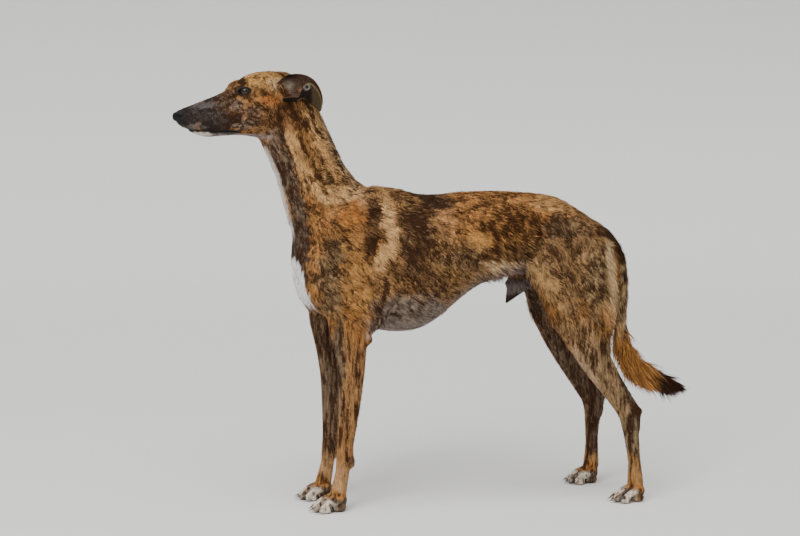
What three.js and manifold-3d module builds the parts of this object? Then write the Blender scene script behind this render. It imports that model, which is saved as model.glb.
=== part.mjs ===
// A life-size standing brindle greyhound: still, head high, tail down.
// Millimetres, +Z up. The dog faces -X and its left side is -Y. The floor is Z = 0.
// The flesh is one field: a number for each point of space, negative inside the dog. Each node is a
// loft whose rings are cast out from a path to where that field is zero, between two flat cuts.

import * as THREE from "three";
import { mergeVertices } from "three/addons/utils/BufferGeometryUtils.js";
import Module from "manifold-3d";

const wasm = await Module();
wasm.setup();

// Driving dimensions
const WITHERS = 731; // height of the shoulder's top
const BACK = 718; // height of the back over the loin
const BRISKET = 396; // height of the chest's lowest point
const SKULL_TOP = 987; // height of the head
const NOSE_X = -597;
const CHEST_HALF_WIDTH = 97;
const FORE_STANCE = 61; // from the middle plane to the middle of a forefoot
const HIND_STANCE = 100; // the same for a hind foot
const RIGHT_FORE_AHEAD = 16; // how far the right forefoot stands ahead of the left
const RIGHT_HIND_AHEAD = 40; // the same for the hind feet
const EYE_RADIUS = 11.5;
const EAR_THICKNESS = 3;
const EAR_LOWER_EDGE = -1.65; // angles of the ear's two edges round its path
const EAR_UPPER_EDGE = 2.8;
const EAR_STEPS = 7; // facets along an ear, and across it
const CUT_GAP = 0.4; // between two neighbouring nodes

const LEFT = -1;
const RIGHT = 1;

// Shapes of the field

const { clamp, lerp } = THREE.MathUtils;

/** The smaller of two distances, rounded where they differ by less than k. */
function smoothMin(a, b, k) {
  const h = Math.max(k - Math.abs(a - b), 0) / k;
  return Math.min(a, b) - (h * h * k) / 4;
}

/** Distance along the ray from the middle of an ellipse: reach is the point's share of the radius. */
function fromMiddle(distance, reach) {
  return reach < 1e-6 ? -distance : distance - distance / reach;
}

/** A smooth curve through [x, value] pairs, with each tangent taken from the two neighbours. */
function curveThrough(pairs) {
  const last = pairs.length - 1;
  const slope = pairs.map((pair, i) => {
    const before = pairs[Math.max(i - 1, 0)];
    const after = pairs[Math.min(i + 1, last)];
    return (after[1] - before[1]) / (after[0] - before[0]);
  });
  return (x) => {
    if (x <= pairs[0][0]) return pairs[0][1];
    if (x >= pairs[last][0]) return pairs[last][1];
    const i = pairs.findIndex((pair) => pair[0] > x) - 1;
    const step = pairs[i + 1][0] - pairs[i][0];
    const t = (x - pairs[i][0]) / step;
    const ease = t * t * (3 - 2 * t);
    return (
      lerp(pairs[i][1], pairs[i + 1][1], ease) +
      step * t * (1 - t) * ((1 - t) * slope[i] - t * slope[i + 1])
    );
  };
}

/** A tapered rod from a to b. Each end has a radius in the fore-and-aft plane and one across it. */
function bone(a, b, [deepA, wideA], [deepB, wideB]) {
  const along = b.map((v, i) => v - a[i]);
  const square = Math.max(along.reduce((sum, v) => sum + v * v, 0), 1e-9);
  return (x, y, z) => {
    const dx = x - a[0];
    const dy = y - a[1];
    const dz = z - a[2];
    const t = clamp((dx * along[0] + dy * along[1] + dz * along[2]) / square, 0, 1);
    const vx = dx - t * along[0];
    const vy = dy - t * along[1];
    const vz = dz - t * along[2];
    const deep = lerp(deepA, deepB, t);
    const wide = lerp(wideA, wideB, t);
    const reach = Math.sqrt((vx * vx + vz * vz) / (deep * deep) + (vy * vy) / (wide * wide));
    return fromMiddle(Math.hypot(vx, vy, vz), reach);
  };
}

/** An ellipsoid whose long axis runs from a to b, with its other two radii. */
function muscle(a, b, deep, wide) {
  const middle = a.map((v, i) => (v + b[i]) / 2);
  const u = new THREE.Vector3(...b).sub(new THREE.Vector3(...a));
  const long = u.length() / 2;
  u.normalize();
  const w = new THREE.Vector3(0, 1, 0).addScaledVector(u, -u.y).normalize();
  const v = new THREE.Vector3().crossVectors(u, w);
  return (x, y, z) => {
    const dx = x - middle[0];
    const dy = y - middle[1];
    const dz = z - middle[2];
    const pu = (dx * u.x + dy * u.y + dz * u.z) / long;
    const pv = (dx * v.x + dy * v.y + dz * v.z) / deep;
    const pw = (dx * w.x + dy * w.y + dz * w.z) / wide;
    return fromMiddle(Math.hypot(dx, dy, dz), Math.hypot(pu, pv, pw));
  };
}

/**
 * A hull along X. Each station is [x, top, bottom, half width, egg]: egg above zero makes the
 * section wider near its top, and below zero near its bottom. cap is the length of its round ends.
 */
function hull(stations, cap) {
  const column = (i) => curveThrough(stations.map((row) => [row[0], row[i]]));
  const [top, bottom, halfWidth, egg] = [1, 2, 3, 4].map(column);
  const first = stations[0][0];
  const last = stations[stations.length - 1][0];
  return (x, y, z) => {
    const at = clamp(x, first, last);
    const over = x - at;
    const high = (top(at) - bottom(at)) / 2;
    const dz = z - (top(at) + bottom(at)) / 2;
    const wide = halfWidth(at) * (1 + egg(at) * clamp(dz / high, -1, 1));
    const reach = Math.hypot(dz / high, y / wide, over / cap);
    return fromMiddle(Math.hypot(dz, y, over), reach);
  };
}

/** A limb that runs up along Z. Each station is [z, x, y, fore-and-aft radius, radius across]. */
function column(stations) {
  const curve = (i) => curveThrough(stations.map((row) => [row[0], row[i]]));
  const [midX, midY, deep, wide] = [1, 2, 3, 4].map(curve);
  const first = stations[0][0];
  const last = stations[stations.length - 1][0];
  return (x, y, z) => {
    const at = clamp(z, first, last);
    const over = z - at;
    const dx = x - midX(at);
    const dy = y - midY(at);
    const reach = Math.hypot(dx / deep(at), dy / wide(at), over / wide(at));
    return fromMiddle(Math.hypot(dx, dy, over), reach);
  };
}

/** Several shapes melted together, each join rounded over k. */
function melt(k, shapes) {
  return (x, y, z) => shapes.reduce((d, shape) => smoothMin(d, shape(x, y, z), k), 1e3);
}

/** A smooth rod through several points, each [x, y, z, deep, wide], as short rods end to end. */
function chain(points, pieces = 4) {
  const curves = points[0].map((_, i) => curveThrough(points.map((q, n) => [n, q[i]])));
  const count = (points.length - 1) * pieces;
  const at = Array.from({ length: count + 1 }, (_, i) => curves.map((f) => f(i / pieces)));
  const rods = at
    .slice(1)
    .map((q, i) => bone(at[i].slice(0, 3), q.slice(0, 3), at[i].slice(3), q.slice(3)));
  return (x, y, z) => rods.reduce((d, rod) => Math.min(d, rod(x, y, z)), 1e3);
}

const bothSides = (make) => [...make(LEFT), ...make(RIGHT)];

// The animal's field

const trunk = hull(
  [
    [-318, 640, 520, 46, 0.0],
    [-285, 690, 470, 62, 0.05],
    [-240, 722, 436, 74, 0.1],
    [-180, WITHERS - 5, 411, 84, 0.2],
    [-110, WITHERS - 4, BRISKET, 92, 0.24],
    [-50, BACK - 5, 401, CHEST_HALF_WIDTH, 0.22],
    [0, BACK - 6, 428, 95, 0.16],
    [50, BACK - 1, 470, 86, 0.1],
    [105, BACK + 1, 505, 75, 0.05],
    [160, BACK, 524, 66, 0.05],
    [215, BACK - 4, 534, 62, 0.05],
    [275, BACK - 14, 545, 62, 0.05],
    [330, BACK - 44, 560, 54, 0.0],
    [368, BACK - 76, 578, 38, 0.0],
  ],
  16,
);

const neck = chain([
  [-342, 0, 892, 66, 45],
  [-317, 0, 820, 73, 45],
  [-286, 0, 735, 82, 52],
  [-250, 0, 664, 98, 66],
]);

const shoulder = (side, ahead) => [
  muscle([-128, side * 32, 722], [-284, side * 62, 540], 48, 26), // blade
  muscle([-290 - ahead / 3, side * 50, 585], [-266 - ahead, side * 66, 448], 39, 27), // its point
  muscle([-288 - ahead, side * 60, 560], [-188 - ahead, side * 73, 402], 44, 26), // upper arm
  muscle([-128 - ahead, side * 56, 620], [-182 - ahead, side * 75, 396], 46, 24), // triceps
  muscle([-304 - ahead / 2, side * 24, 620], [-266 - ahead, side * 34, 440], 36, 30), // breast
];

const foreleg = (side, ahead) => {
  const station = (z, x, y, deep, wide, lean = 0) => [z, x - ahead - lean * ahead, side * y, deep, wide];
  return [
    column([
      station(46, -243, 61, 19, 18),
      station(88, -234, 61, 17, 15.5),
      station(112, -230, 61, 19.5, 17.5),
      station(128, -228, 61, 20.5, 17.5),
      station(150, -227, 62, 20, 15.5),
      station(215, -221, 65, 25, 16.5, 0.1),
      station(290, -216, 69, 30, 20, 0.3),
      station(350, -216, 73, 36, 24, 0.5),
      station(420, -222, 73, 46, 25, 0.5),
      station(500, -232, 70, 44, 18, 0.3),
    ]),
    muscle([-188 - ahead * 1.5, side * 77, 404], [-179 - ahead * 1.5, side * 78, 381], 16, 12), // elbow
    bone([-215 - ahead, side * 61, 113], [-212 - ahead, side * 61, 106], [9, 9], [7, 8]), // wrist pad
  ];
};

const haunch = (side) => [
  muscle([215, side * 34, 682], [376, side * 46, 578], 44, 34), // rump
  muscle([262, side * 44, 660], [280, side * 88, 392], 50, 34), // front of the thigh
  muscle([366, side * 40, 640], [352, side * 84, 372], 54, 36), // back of the thigh
  muscle([318, side * 62, 560], [322, side * 90, 352], 62, 28), // outer thigh
  muscle([205, side * 40, 572], [276, side * 70, 440], 30, 14), // flank fold
];

const hindleg = (side, ahead) => {
  const station = (z, x, y, deep, wide, share) => [z, x - ahead * share, side * y, deep, wide];
  const hockX = 436 - ahead * 0.55;
  return [
    column([
      station(46, 446, 100, 20, 18, 1),
      station(92, 443, 100, 17, 15, 0.9),
      station(140, 437, 99, 19, 14.5, 0.75),
      station(178, 432, 98, 23, 16, 0.6),
      station(204, 425, 98, 25, 16, 0.55),
      station(236, 405, 97, 28, 16, 0.5),
      station(276, 377, 94, 32, 18, 0.4),
      station(320, 351, 90, 40, 23, 0.3),
      station(372, 333, 85, 54, 30, 0.25),
      station(430, 325, 80, 66, 34, 0.15),
      station(530, 325, 64, 60, 28, 0),
    ]),
    // heel bone, and the tendon that runs down to it
    bone([hockX + 16, side * 98, 208], [hockX + 6, side * 98, 176], [9, 9], [14, 12]),
    bone([382 - ahead * 0.4, side * 92, 316], [hockX + 15, side * 98, 212], [13, 9], [8, 7]),
  ];
};

/** A foot whose middle is at [x, y]: four arched toes and their pads, pointing to -X. */
const paw = (x, y, side) => [
  muscle([x - 16, y, 18], [x + 32, y, 28], 19, 22),
  muscle([x - 8, y, 8], [x + 30, y, 9], 12, 21), // main pad
  ...TOES.flatMap(({ out, reach, spread }) => {
    const toe = (forward, width, height, radius) => [
      x - forward - reach,
      y + side * (out + spread * width),
      height,
      radius,
      radius * 0.84,
    ];
    return [
      chain([toe(-6, 0, 31, 10.5), toe(16, 0.6, 24, 9.5), toe(36, 1, 10.5, 8)]),
      chain([toe(24, 0.8, 7, 8), toe(35, 1, 7, 7.5)], 1), // its pad
    ];
  }),
];

const TOES = [
  { out: -19, reach: -8, spread: -5 },
  { out: -6.5, reach: 5, spread: -1.5 },
  { out: 6.5, reach: 5, spread: 1.5 },
  { out: 19, reach: -8, spread: 5 },
];

const tailPath = [
  [334, 0, 648, 20, 22],
  [388, 0, 616, 20, 16],
  [424, 0, 576, 17, 12],
  [440, 0, 530, 15, 11],
  [443, 0, 468, 16, 10],
  [441, 0, 402, 17, 9],
  [447, 0, 350, 20, 8],
  [470, 0, 306, 24, 8],
  [508, 0, 279, 23, 7],
  [548, 0, 261, 15, 5],
  [590, 0, 248, 4, 3],
];

// Head: one hull for the muzzle and the brain case, with the muscles and the brow laid over it
const headHull = hull(
  [
    [NOSE_X + 4, 895, 873, 9, 0],
    [-586, 899.5, 865, 14, -0.1],
    [-570, 906, 855, 17, -0.2],
    [-555, 912, 847, 19, -0.25],
    [-530, 922, 839.5, 22, -0.25],
    [-505, 932, 840.5, 26, -0.25],
    [-482, 944, 842, 30, -0.2],
    [-462, 961, 843, 35, -0.1],
    [-440, 976, 842, 40, 0],
    [-420, 983, 839, 44, 0.05],
    [-395, SKULL_TOP, 838, 46, 0.1],
    [-365, SKULL_TOP, 845, 44, 0.1],
    [-340, 982, 862, 39, 0.05],
    [-322, 966, 885, 30, 0],
  ],
  8,
);

const headMuscles = (side) => [
  muscle([-446, side * 20, 948], [-346, side * 26, 958], 26, 22), // temple
  muscle([-484, side * 14, 941], [-406, side * 40, 942], 18, 14), // eye socket
  muscle([-476, side * 20, 953], [-432, side * 32, 962], 9, 9), // brow
  muscle([-490, side * 20, 914], [-392, side * 42, 920], 11, 11), // cheekbone
  muscle([-452, side * 28, 872], [-366, side * 37, 908], 31, 19), // cheek muscle
  muscle([-562, side * 9, 868], [-470, side * 22, 866], 12, 11), // upper lip
];

const sheathShape = melt(8, [
  muscle([246, 0, 514], [158, 0, 502], 20, 14),
  bone([190, 0, 504], [163, 0, 460], [29, 12], [4.5, 4]),
]);

const throat = bone([-398, 0, 850], [-362, 0, 785], [18, 24], [18, 26]);

const head = melt(9, [throat, headHull, ...bothSides(headMuscles)]);
const torso = melt(26, [
  trunk,
  neck,
  ...shoulder(LEFT, 0),
  ...shoulder(RIGHT, RIGHT_FORE_AHEAD),
  ...bothSides(haunch),
]);
const legs = melt(12, [
  ...foreleg(LEFT, 0),
  ...foreleg(RIGHT, RIGHT_FORE_AHEAD),
  ...hindleg(LEFT, 0),
  ...hindleg(RIGHT, RIGHT_HIND_AHEAD),
]);
const tail = chain(tailPath);

const pawPlaces = {
  fore_left: [-255, -FORE_STANCE, LEFT],
  fore_right: [-255 - RIGHT_FORE_AHEAD, FORE_STANCE, RIGHT],
  hind_left: [438, -HIND_STANCE, LEFT],
  hind_right: [432 - RIGHT_HIND_AHEAD, HIND_STANCE, RIGHT],
};
const paws = Object.values(pawPlaces).map((place) => melt(4, paw(...place)));

/** Head, neck, trunk and legs, without the tail and the sheath, cut flat at the floor. */
function body(x, y, z) {
  const join = x > 0 ? 22 : 5 + 17 * THREE.MathUtils.smoothstep(z, 405, 480);
  let d = smoothMin(torso(x, y, z), legs(x, y, z), join);
  if (x < -300) d = smoothMin(d, head(x, y, z), 22);
  if (z < 90) for (const pad of paws) d = smoothMin(d, pad(x, y, z), 9);
  return Math.max(d, -z);
}

// Building meshes from the field

/** A closed geometry from rings of points, with a middle point at each end. */
function skinOver(rings, firstMiddle, lastMiddle) {
  const sides = rings[0].length;
  const points = [...rings.flat(), firstMiddle, lastMiddle];
  const faces = [];
  for (let k = 0; k < sides; k++) {
    const next = (k + 1) % sides;
    faces.push([points.length - 2, next, k]);
    for (let r = 0; r < rings.length - 1; r++) {
      const [a, b] = [r * sides + k, r * sides + next];
      faces.push([a, b, b + sides], [a, b + sides, a + sides]);
    }
    const end = (rings.length - 1) * sides;
    faces.push([points.length - 1, end + k, end + next]);
  }
  return closed(points, faces);
}

/** A geometry of points and triangles, turned to face out. */
function closed(points, faces) {
  let volume = 0;
  for (const [a, b, c] of faces) {
    const [p, q, r] = [points[a], points[b], points[c]].map((v) => new THREE.Vector3(...v));
    volume += p.dot(q.cross(r));
  }
  const geometry = new THREE.BufferGeometry();
  geometry.setAttribute("position", new THREE.Float32BufferAttribute(points.flat(), 3));
  geometry.setIndex(volume > 0 ? faces.flat() : faces.map(([a, b, c]) => [a, c, b]).flat());
  return geometry;
}

/** The point on a ray from inside the field where the field turns positive. */
function castOut(field, from, way, farthest = 280) {
  const point = (t) => from.map((v, i) => v + t * way[i]);
  let inside = 0;
  let outside = 4;
  while (outside < farthest && field(...point(outside)) < 0) {
    inside = outside;
    outside += 4;
  }
  for (let i = 0; i < 12; i++) {
    const middle = (inside + outside) / 2;
    if (field(...point(middle)) < 0) inside = middle;
    else outside = middle;
  }
  return point(inside);
}

const unit = (v) => new THREE.Vector3(...v).normalize().toArray();
const mix = (a, u, b, v) => a.map((_, i) => a[i] * u + b[i] * v);

/**
 * A loft through sections. Each section has a middle and two directions that span its plane;
 * every ring is cast out from its middle to the field's surface, and both ends are flat.
 */
function loft(field, sections, ringCount, sides) {
  const flat = sections.map(({ middle, one, two }) => [...middle, ...unit(one), ...unit(two)]);
  const curves = flat[0].map((_, i) => curveThrough(flat.map((row, n) => [n, row[i]])));
  const rings = Array.from({ length: ringCount }, (_, r) => {
    const row = curves.map((f) => f((r * (sections.length - 1)) / (ringCount - 1)));
    const [middle, one, two] = [row.slice(0, 3), unit(row.slice(3, 6)), unit(row.slice(6, 9))];
    return Array.from({ length: sides }, (_, k) => {
      const turn = (k * 2 * Math.PI) / sides;
      return castOut(field, middle, unit(mix(one, Math.cos(turn), two, Math.sin(turn))));
    });
  });
  return skinOver(rings, sections[0].middle, sections[sections.length - 1].middle);
}

/** A body cast out from one point in all directions, its poles above and below. */
function star(field, middle, ringCount, sides) {
  const way = (up, turn) => [
    Math.sin(up) * Math.cos(turn),
    Math.sin(up) * Math.sin(turn),
    Math.cos(up),
  ];
  const ring = (up) =>
    Array.from({ length: sides }, (_, k) =>
      castOut(field, middle, way(up, (k * 2 * Math.PI) / sides)),
    );
  const rings = Array.from({ length: ringCount }, (_, r) => ring(((r + 1) * Math.PI) / (ringCount + 1)));
  return skinOver(
    rings,
    castOut(field, middle, [0, 0, 1]),
    castOut(field, middle, [0, 0, -1]),
  );
}

/** A manifold solid made from a geometry. */
function solid(geometry) {
  const bare = new THREE.BufferGeometry();
  bare.setAttribute("position", geometry.getAttribute("position"));
  bare.setIndex(geometry.getIndex());
  const merged = mergeVertices(bare, 1e-4);
  const mesh = new wasm.Mesh({
    numProp: 3,
    vertProperties: new Float32Array(merged.getAttribute("position").array),
    triVerts: new Uint32Array(merged.getIndex().array),
  });
  return new wasm.Manifold(mesh);
}

/** A geometry made from a manifold solid. */
function geometryOf(shape) {
  const mesh = shape.getMesh();
  const geometry = new THREE.BufferGeometry();
  geometry.setAttribute("position", new THREE.BufferAttribute(mesh.vertProperties, 3));
  geometry.setIndex(new THREE.BufferAttribute(mesh.triVerts, 1));
  return geometry;
}

const grown = (field, by) => (x, y, z) => field(x, y, z) - by;
const both = (...fields) => (x, y, z) => fields.reduce((d, f) => Math.max(d, f(x, y, z)), -1e3);

/** Keeps the side of a plane that its normal points away from, less half a cut. */
function side(point, normal) {
  const n = unit(normal);
  return (x, y, z) =>
    (x - point[0]) * n[0] + (y - point[1]) * n[1] + (z - point[2]) * n[2] + CUT_GAP / 2;
}
const flip = (normal) => normal.map((v) => -v);

// Cuts between the parts

/** A section of the trunk through two points in the middle plane, upper and lower. */
const across = (upper, lower) => ({
  middle: [(upper[0] + lower[0]) / 2, 0, (upper[1] + lower[1]) / 2],
  one: [0, 1, 0],
  two: [upper[0] - lower[0], 0, upper[1] - lower[1]],
});
/** The same section moved along its plane's normal, towards +X. */
const shifted = (section, by) => {
  const normal = unit([section.two[2], 0, -section.two[0]]);
  return { ...section, middle: mix(section.middle, 1, normal, by) };
};
const level = (x, y, z) => ({ middle: [x, y, z], one: [1, 0, 0], two: [0, Math.sign(y), 0] });

/** The section of a limb that lies in its cut, half a gap to the limb's side. */
function sectionIn({ point, normal }, x, z) {
  const [nx, ny, nz] = normal;
  const gap = CUT_GAP / 2 / Math.hypot(nx, ny, nz);
  const y = point[1] + (gap - nx * (x - point[0]) - nz * (z - point[2])) / ny;
  return { middle: [x, y, z], one: [1, -nx / ny, 0], two: [0, -nz / ny, 1] };
}

const nape = across([-316, 964], [-398, 826]);
const neckBase = across([-190, 745], [-350, 640]);
const waist = across([62, 718], [62, 470]);

// the plane that parts each limb from the trunk, by one of its points and its outward normal
const shoulderCut = (side) => ({ point: [-165, side * 60, 400], normal: [-0.232, side * 0.917, -0.323] });
const thighCut = (side) => ({ point: [300, side * 40, 520], normal: [0.3, side * 0.85, -0.42] });

// Colours of the coat and the bare parts, each with its roughness
const FINISH = {
  face: ["#8a6b52", 0.85],
  jaw: ["#6f635a", 0.8],
  nose: ["#232120", 0.45],
  eye: ["#2b1a10", 0.12],
  ear: ["#3d342a", 0.8],
  neck: ["#a27e58", 0.85],
  brindle: ["#84603f", 0.85],
  haunch: ["#8b6747", 0.85],
  belly: ["#4d4643", 0.7],
  arm: ["#a5744a", 0.85],
  forearm: ["#99704b", 0.85],
  pastern: ["#a07c5a", 0.85],
  sock: ["#beb0a1", 0.85],
  shank: ["#7b5f48", 0.85],
  hock: ["#6a5647", 0.85],
  tail: ["#7a5c42", 0.85],
  feather: ["#93693f", 0.9],
  tip: ["#3a2f28", 0.9],
  claw: ["#3a342f", 0.45],
};

const parts = [];
const add = (name, geometry, finish) => parts.push({ name, geometry, finish });

// Head, jaw and nose

const mouthHeight = curveThrough([
  [-575, 859],
  [-560, 854.5],
  [-530, 853],
  [-495, 853.5],
  [-470, 853],
  [-452, 851],
]);
const MOUTH_CORNER_X = -452;
const NOSE_CUT_X = -577;

const belowMouth = (x, y, z) => z - mouthHeight(x) + CUT_GAP / 2;
const jawField = both(body, belowMouth, (x) => x - MOUTH_CORNER_X + CUT_GAP / 2);
const aboveMouth = (x, y, z) => Math.min(mouthHeight(x) + CUT_GAP / 2 - z, MOUTH_CORNER_X - x);
const headField = both(body, aboveMouth);

/** The head's section at x: upright at the muzzle, leaning back towards the nape. */
const headSection = (x, upper, lower, centre) => ({
  middle: [x, 0, centre],
  one: [0, 1, 0],
  two: [upper, 0, lower],
});
const headSections = [
  headSection(NOSE_CUT_X + CUT_GAP, 0, 1, 881),
  headSection(-560, 0, 1, 882),
  headSection(-530, 0, 1, 886),
  headSection(-500, 0, 1, 892),
  headSection(-476, 0, 1, 900),
  headSection(-452.6, 0, 1, 906),
  headSection(-451.9, 0, 1, 906),
  headSection(-430, 0.1, 1, 908),
  headSection(-405, 0.25, 1, 908),
  headSection(-380, 0.42, 1, 903),
  shifted(nape, -CUT_GAP / 2),
];

const eyePlace = (side) => {
  const way = unit([-0.5, side * 0.86, 0.08]);
  const surface = castOut(body, [-422, 0, 935.5], way);
  return mix(surface, 1, way, 2.4 - EYE_RADIUS);
};
const eyes = { left: eyePlace(LEFT), right: eyePlace(RIGHT) };
const ball = (middle, radius) => (x, y, z) =>
  Math.hypot(x - middle[0], y - middle[1], z - middle[2]) - radius;

const nostril = (side) => muscle([-605, side * 4.5, 882.5], [-582, side * 9.5, 882], 3.8, 3.1);

let headSolid = solid(loft(headField, headSections, 25, 28));
for (const middle of Object.values(eyes)) {
  headSolid = headSolid.subtract(solid(star(ball(middle, EYE_RADIUS + 0.35), middle, 6, 11)));
}
add("head", geometryOf(headSolid), "face");

add(
  "lower_jaw",
  loft(
    jawField,
    [
      headSection(-570, 0.35, 1, 856),
      headSection(-555, 0, 1, 850),
      headSection(-525, 0, 1, 847),
      headSection(-490, 0, 1, 847.5),
      headSection(MOUTH_CORNER_X - CUT_GAP, 0, 1, 847),
    ],
    8,
    16,
  ),
  "jaw",
);

let noseSolid = solid(
  loft(
    both(body, (x) => x - NOSE_CUT_X + CUT_GAP / 2),
    [-599.5, -597, -591, NOSE_CUT_X - CUT_GAP / 2].map((x) => headSection(x, 0, 1, 882)),
    5,
    14,
  ),
);
for (const turn of [LEFT, RIGHT]) {
  noseSolid = noseSolid.subtract(solid(star(nostril(turn), [-591, turn * 7.2, 882], 3, 6)));
}
add("nose", geometryOf(noseSolid), "nose");

for (const [name, middle] of Object.entries(eyes)) {
  add(`eye_${name}`, star(ball(middle, EYE_RADIUS), middle, 6, 11), "eye");
}

// Neck and trunk

const clearOf = (cut) => side(cut.point, cut.normal);
const trunkField = both(
  body,
  clearOf(shoulderCut(LEFT)),
  clearOf(shoulderCut(RIGHT)),
  clearOf(thighCut(LEFT)),
  clearOf(thighCut(RIGHT)),
);

const neckSections = [
  shifted(nape, CUT_GAP / 2),
  across([-267, 896], [-384, 784]),
  across([-229, 803], [-360, 696]),
  shifted(neckBase, -CUT_GAP / 2),
];
add("neck", loft(body, neckSections, 7, 24), "neck");

const chestSections = [
  shifted(neckBase, CUT_GAP / 2),
  across([-170, 735], [-325, 520]),
  across([-140, 730], [-255, 430]),
  across([-100, 725], [-150, 400]),
  across([-45, 718], [-60, 400]),
  shifted(waist, -CUT_GAP / 2),
];
add("chest", loft(trunkField, chestSections, 13, 26), "brindle");

const loinEnd = across([205, 712], [205, 540]);
const loinSections = [shifted(waist, CUT_GAP / 2), shifted(loinEnd, -CUT_GAP / 2)];
add("loin", loft(trunkField, loinSections, 6, 24), "brindle");

const pelvisSections = [
  shifted(loinEnd, CUT_GAP / 2),
  across([270, 705], [262, 545]),
  across([335, 680], [310, 545]),
  across([375, 645], [345, 560]),
  across([396, 600], [368, 575]),
];
add("pelvis", loft(trunkField, pelvisSections, 10, 26), "haunch");

// each body that the sheath, the tail and the ears are cut back by, a gap larger than its node
const nearTail = [
  loft(
    grown(trunkField, CUT_GAP),
    [shifted(loinEnd, CUT_GAP / 2), ...pelvisSections.slice(1, 4), shifted(pelvisSections[4], CUT_GAP)],
    10,
    26,
  ),
];
const cutBack = (shape, cutters) =>
  geometryOf(cutters.reduce((rest, cutter) => rest.subtract(solid(cutter)), solid(shape)));

// Legs

const limb = (name, field, sections, ringCount, sides, finish) =>
  add(name, loft(field, sections, ringCount, sides), finish);

const ELBOW = 366;
const WRIST = 128;
const STIFLE = 385;
const HOCK = 226;
const ANKLE = 48;

const footNames = { fore_left: [LEFT, 0], fore_right: [RIGHT, RIGHT_FORE_AHEAD] };
for (const [name, [turn, ahead]] of Object.entries(footNames)) {
  const cut = shoulderCut(turn);
  const top = sectionIn(cut, -232 - ahead / 2, 446);
  const inner = both(body, side(cut.point, flip(cut.normal)));
  const at = (x, y, z) => level(x - ahead, turn * y, z);
  const [, place] = name.split("_");
  limb(
    `upper_arm_${place}`,
    inner,
    [top, { ...at(-212, 74, 402), two: [0, turn * 0.9, 0.45] }, at(-214, 74, ELBOW + CUT_GAP / 2)],
    7,
    18,
    "arm",
  );
  limb(
    `forearm_${place}`,
    body,
    [
      at(-214, 74, ELBOW - CUT_GAP / 2),
      at(-216, 69, 290),
      at(-221, 65, 215),
      at(-226, 62, WRIST + CUT_GAP / 2),
    ],
    8,
    14,
    "forearm",
  );
  limb(
    `pastern_${place}`,
    body,
    [at(-226, 61.5, WRIST - CUT_GAP / 2), at(-232, 61, 96), at(-242, 61, ANKLE + CUT_GAP / 2)],
    6,
    12,
    "pastern",
  );
}

const hindNames = { left: [LEFT, 0], right: [RIGHT, RIGHT_HIND_AHEAD] };
for (const [place, [turn, ahead]] of Object.entries(hindNames)) {
  const cut = thighCut(turn);
  const top = sectionIn(cut, 315, 545);
  const outer = both(body, side(cut.point, flip(cut.normal)));
  const at = (x, y, z, share) => level(x - ahead * share, turn * y, z);
  const thighSections = [
    top,
    { ...at(322, 74, 455, 0.1), two: [0, turn * 0.85, 0.5] },
    at(333, 84, STIFLE + CUT_GAP / 2, 0.25),
  ];
  limb(`thigh_${place}`, outer, thighSections, 9, 20, "haunch");
  nearTail.push(loft(grown(outer, CUT_GAP), thighSections, 9, 20));
  limb(
    `shank_${place}`,
    body,
    [
      at(333, 84, STIFLE - CUT_GAP / 2, 0.25),
      at(352, 90, 320, 0.3),
      at(378, 94, 276, 0.4),
      at(412, 97, HOCK + CUT_GAP / 2, 0.52),
    ],
    8,
    14,
    "shank",
  );
  limb(
    `hock_${place}`,
    body,
    [
      at(412, 97, HOCK - CUT_GAP / 2, 0.52),
      at(430, 98, 190, 0.6),
      at(437, 99, 140, 0.75),
      at(446, 100, ANKLE + CUT_GAP / 2, 1),
    ],
    9,
    12,
    "hock",
  );
}

// Feet and claws

const overFloor = (x, y, z) => -z;

for (const [name, [x, y, turn]] of Object.entries(pawPlaces)) {
  const [upper, pad, ...toeRods] = paw(x, y, turn);
  const base = star(both(melt(4, [upper, pad]), overFloor), [x + 4, y, 16], 3, 9);
  const ankle = [level(x + 16, y, ANKLE - CUT_GAP / 2), level(x + 9, y, 16)];
  let foot = solid(base).add(solid(loft(both(body, overFloor), ankle, 2, 10)));
  TOES.forEach(({ out, reach, spread }, i) => {
    const toeShape = melt(4, toeRods.slice(2 * i, 2 * i + 2));
    const tip = (forward, share) => [x - forward - reach, y + turn * (out + share * spread)];
    const toe = (by) =>
      star(both(grown(toeShape, by), overFloor), [...tip(20, 0.6), 22], 4, 7);
    foot = foot.add(solid(toe(0)));
    const claw = chain(
      [
        [...tip(30, 1), 15, 4.2, 3],
        [...tip(43, 1.1), 12, 3.6, 2.7],
        [...tip(51, 1.2), 4.5, 1.2, 1],
      ],
      2,
    );
    const whole = star(claw, [...tip(43, 1.1), 11.5], 3, 6);
    add(`claw_${name}_${i + 1}`, cutBack(whole, [toe(CUT_GAP)]), "claw");
  });
  add(`paw_${name}`, geometryOf(foot), "sock");
}

// Tail, sheath and ears

/** Sections square to a path in the middle plane. */
function sectionsAlong(path) {
  return path.map(([x, , z], i) => {
    const before = path[Math.max(i - 1, 0)];
    const after = path[Math.min(i + 1, path.length - 1)];
    return { middle: [x, 0, z], one: [0, 1, 0], two: [before[2] - after[2], 0, after[0] - before[0]] };
  });
}
const tailSections = sectionsAlong(tailPath);
const gapped = ([first, ...rest]) => [shifted(first, CUT_GAP), ...rest];
const tailRoot = loft(tail, tailSections.slice(0, 4), 8, 10);
add("tail_root", cutBack(tailRoot, nearTail), "tail");
add("tail_middle", loft(tail, gapped(tailSections.slice(3, 7)), 8, 10), "tail");
add("tail_brush", loft(tail, gapped(tailSections.slice(6, 10)), 8, 10), "feather");
add("tail_tip", loft(tail, gapped(tailSections.slice(9)), 4, 8), "tip");

const sheathWhole = star(sheathShape, [165, 0, 488], 7, 12);
add(
  "sheath",
  cutBack(sheathWhole, [
    loft(grown(trunkField, CUT_GAP), [across([100, 718], [100, 500]), across([250, 708], [250, 540])], 8, 24),
    ...nearTail,
  ]),
  "belly",
);

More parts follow.
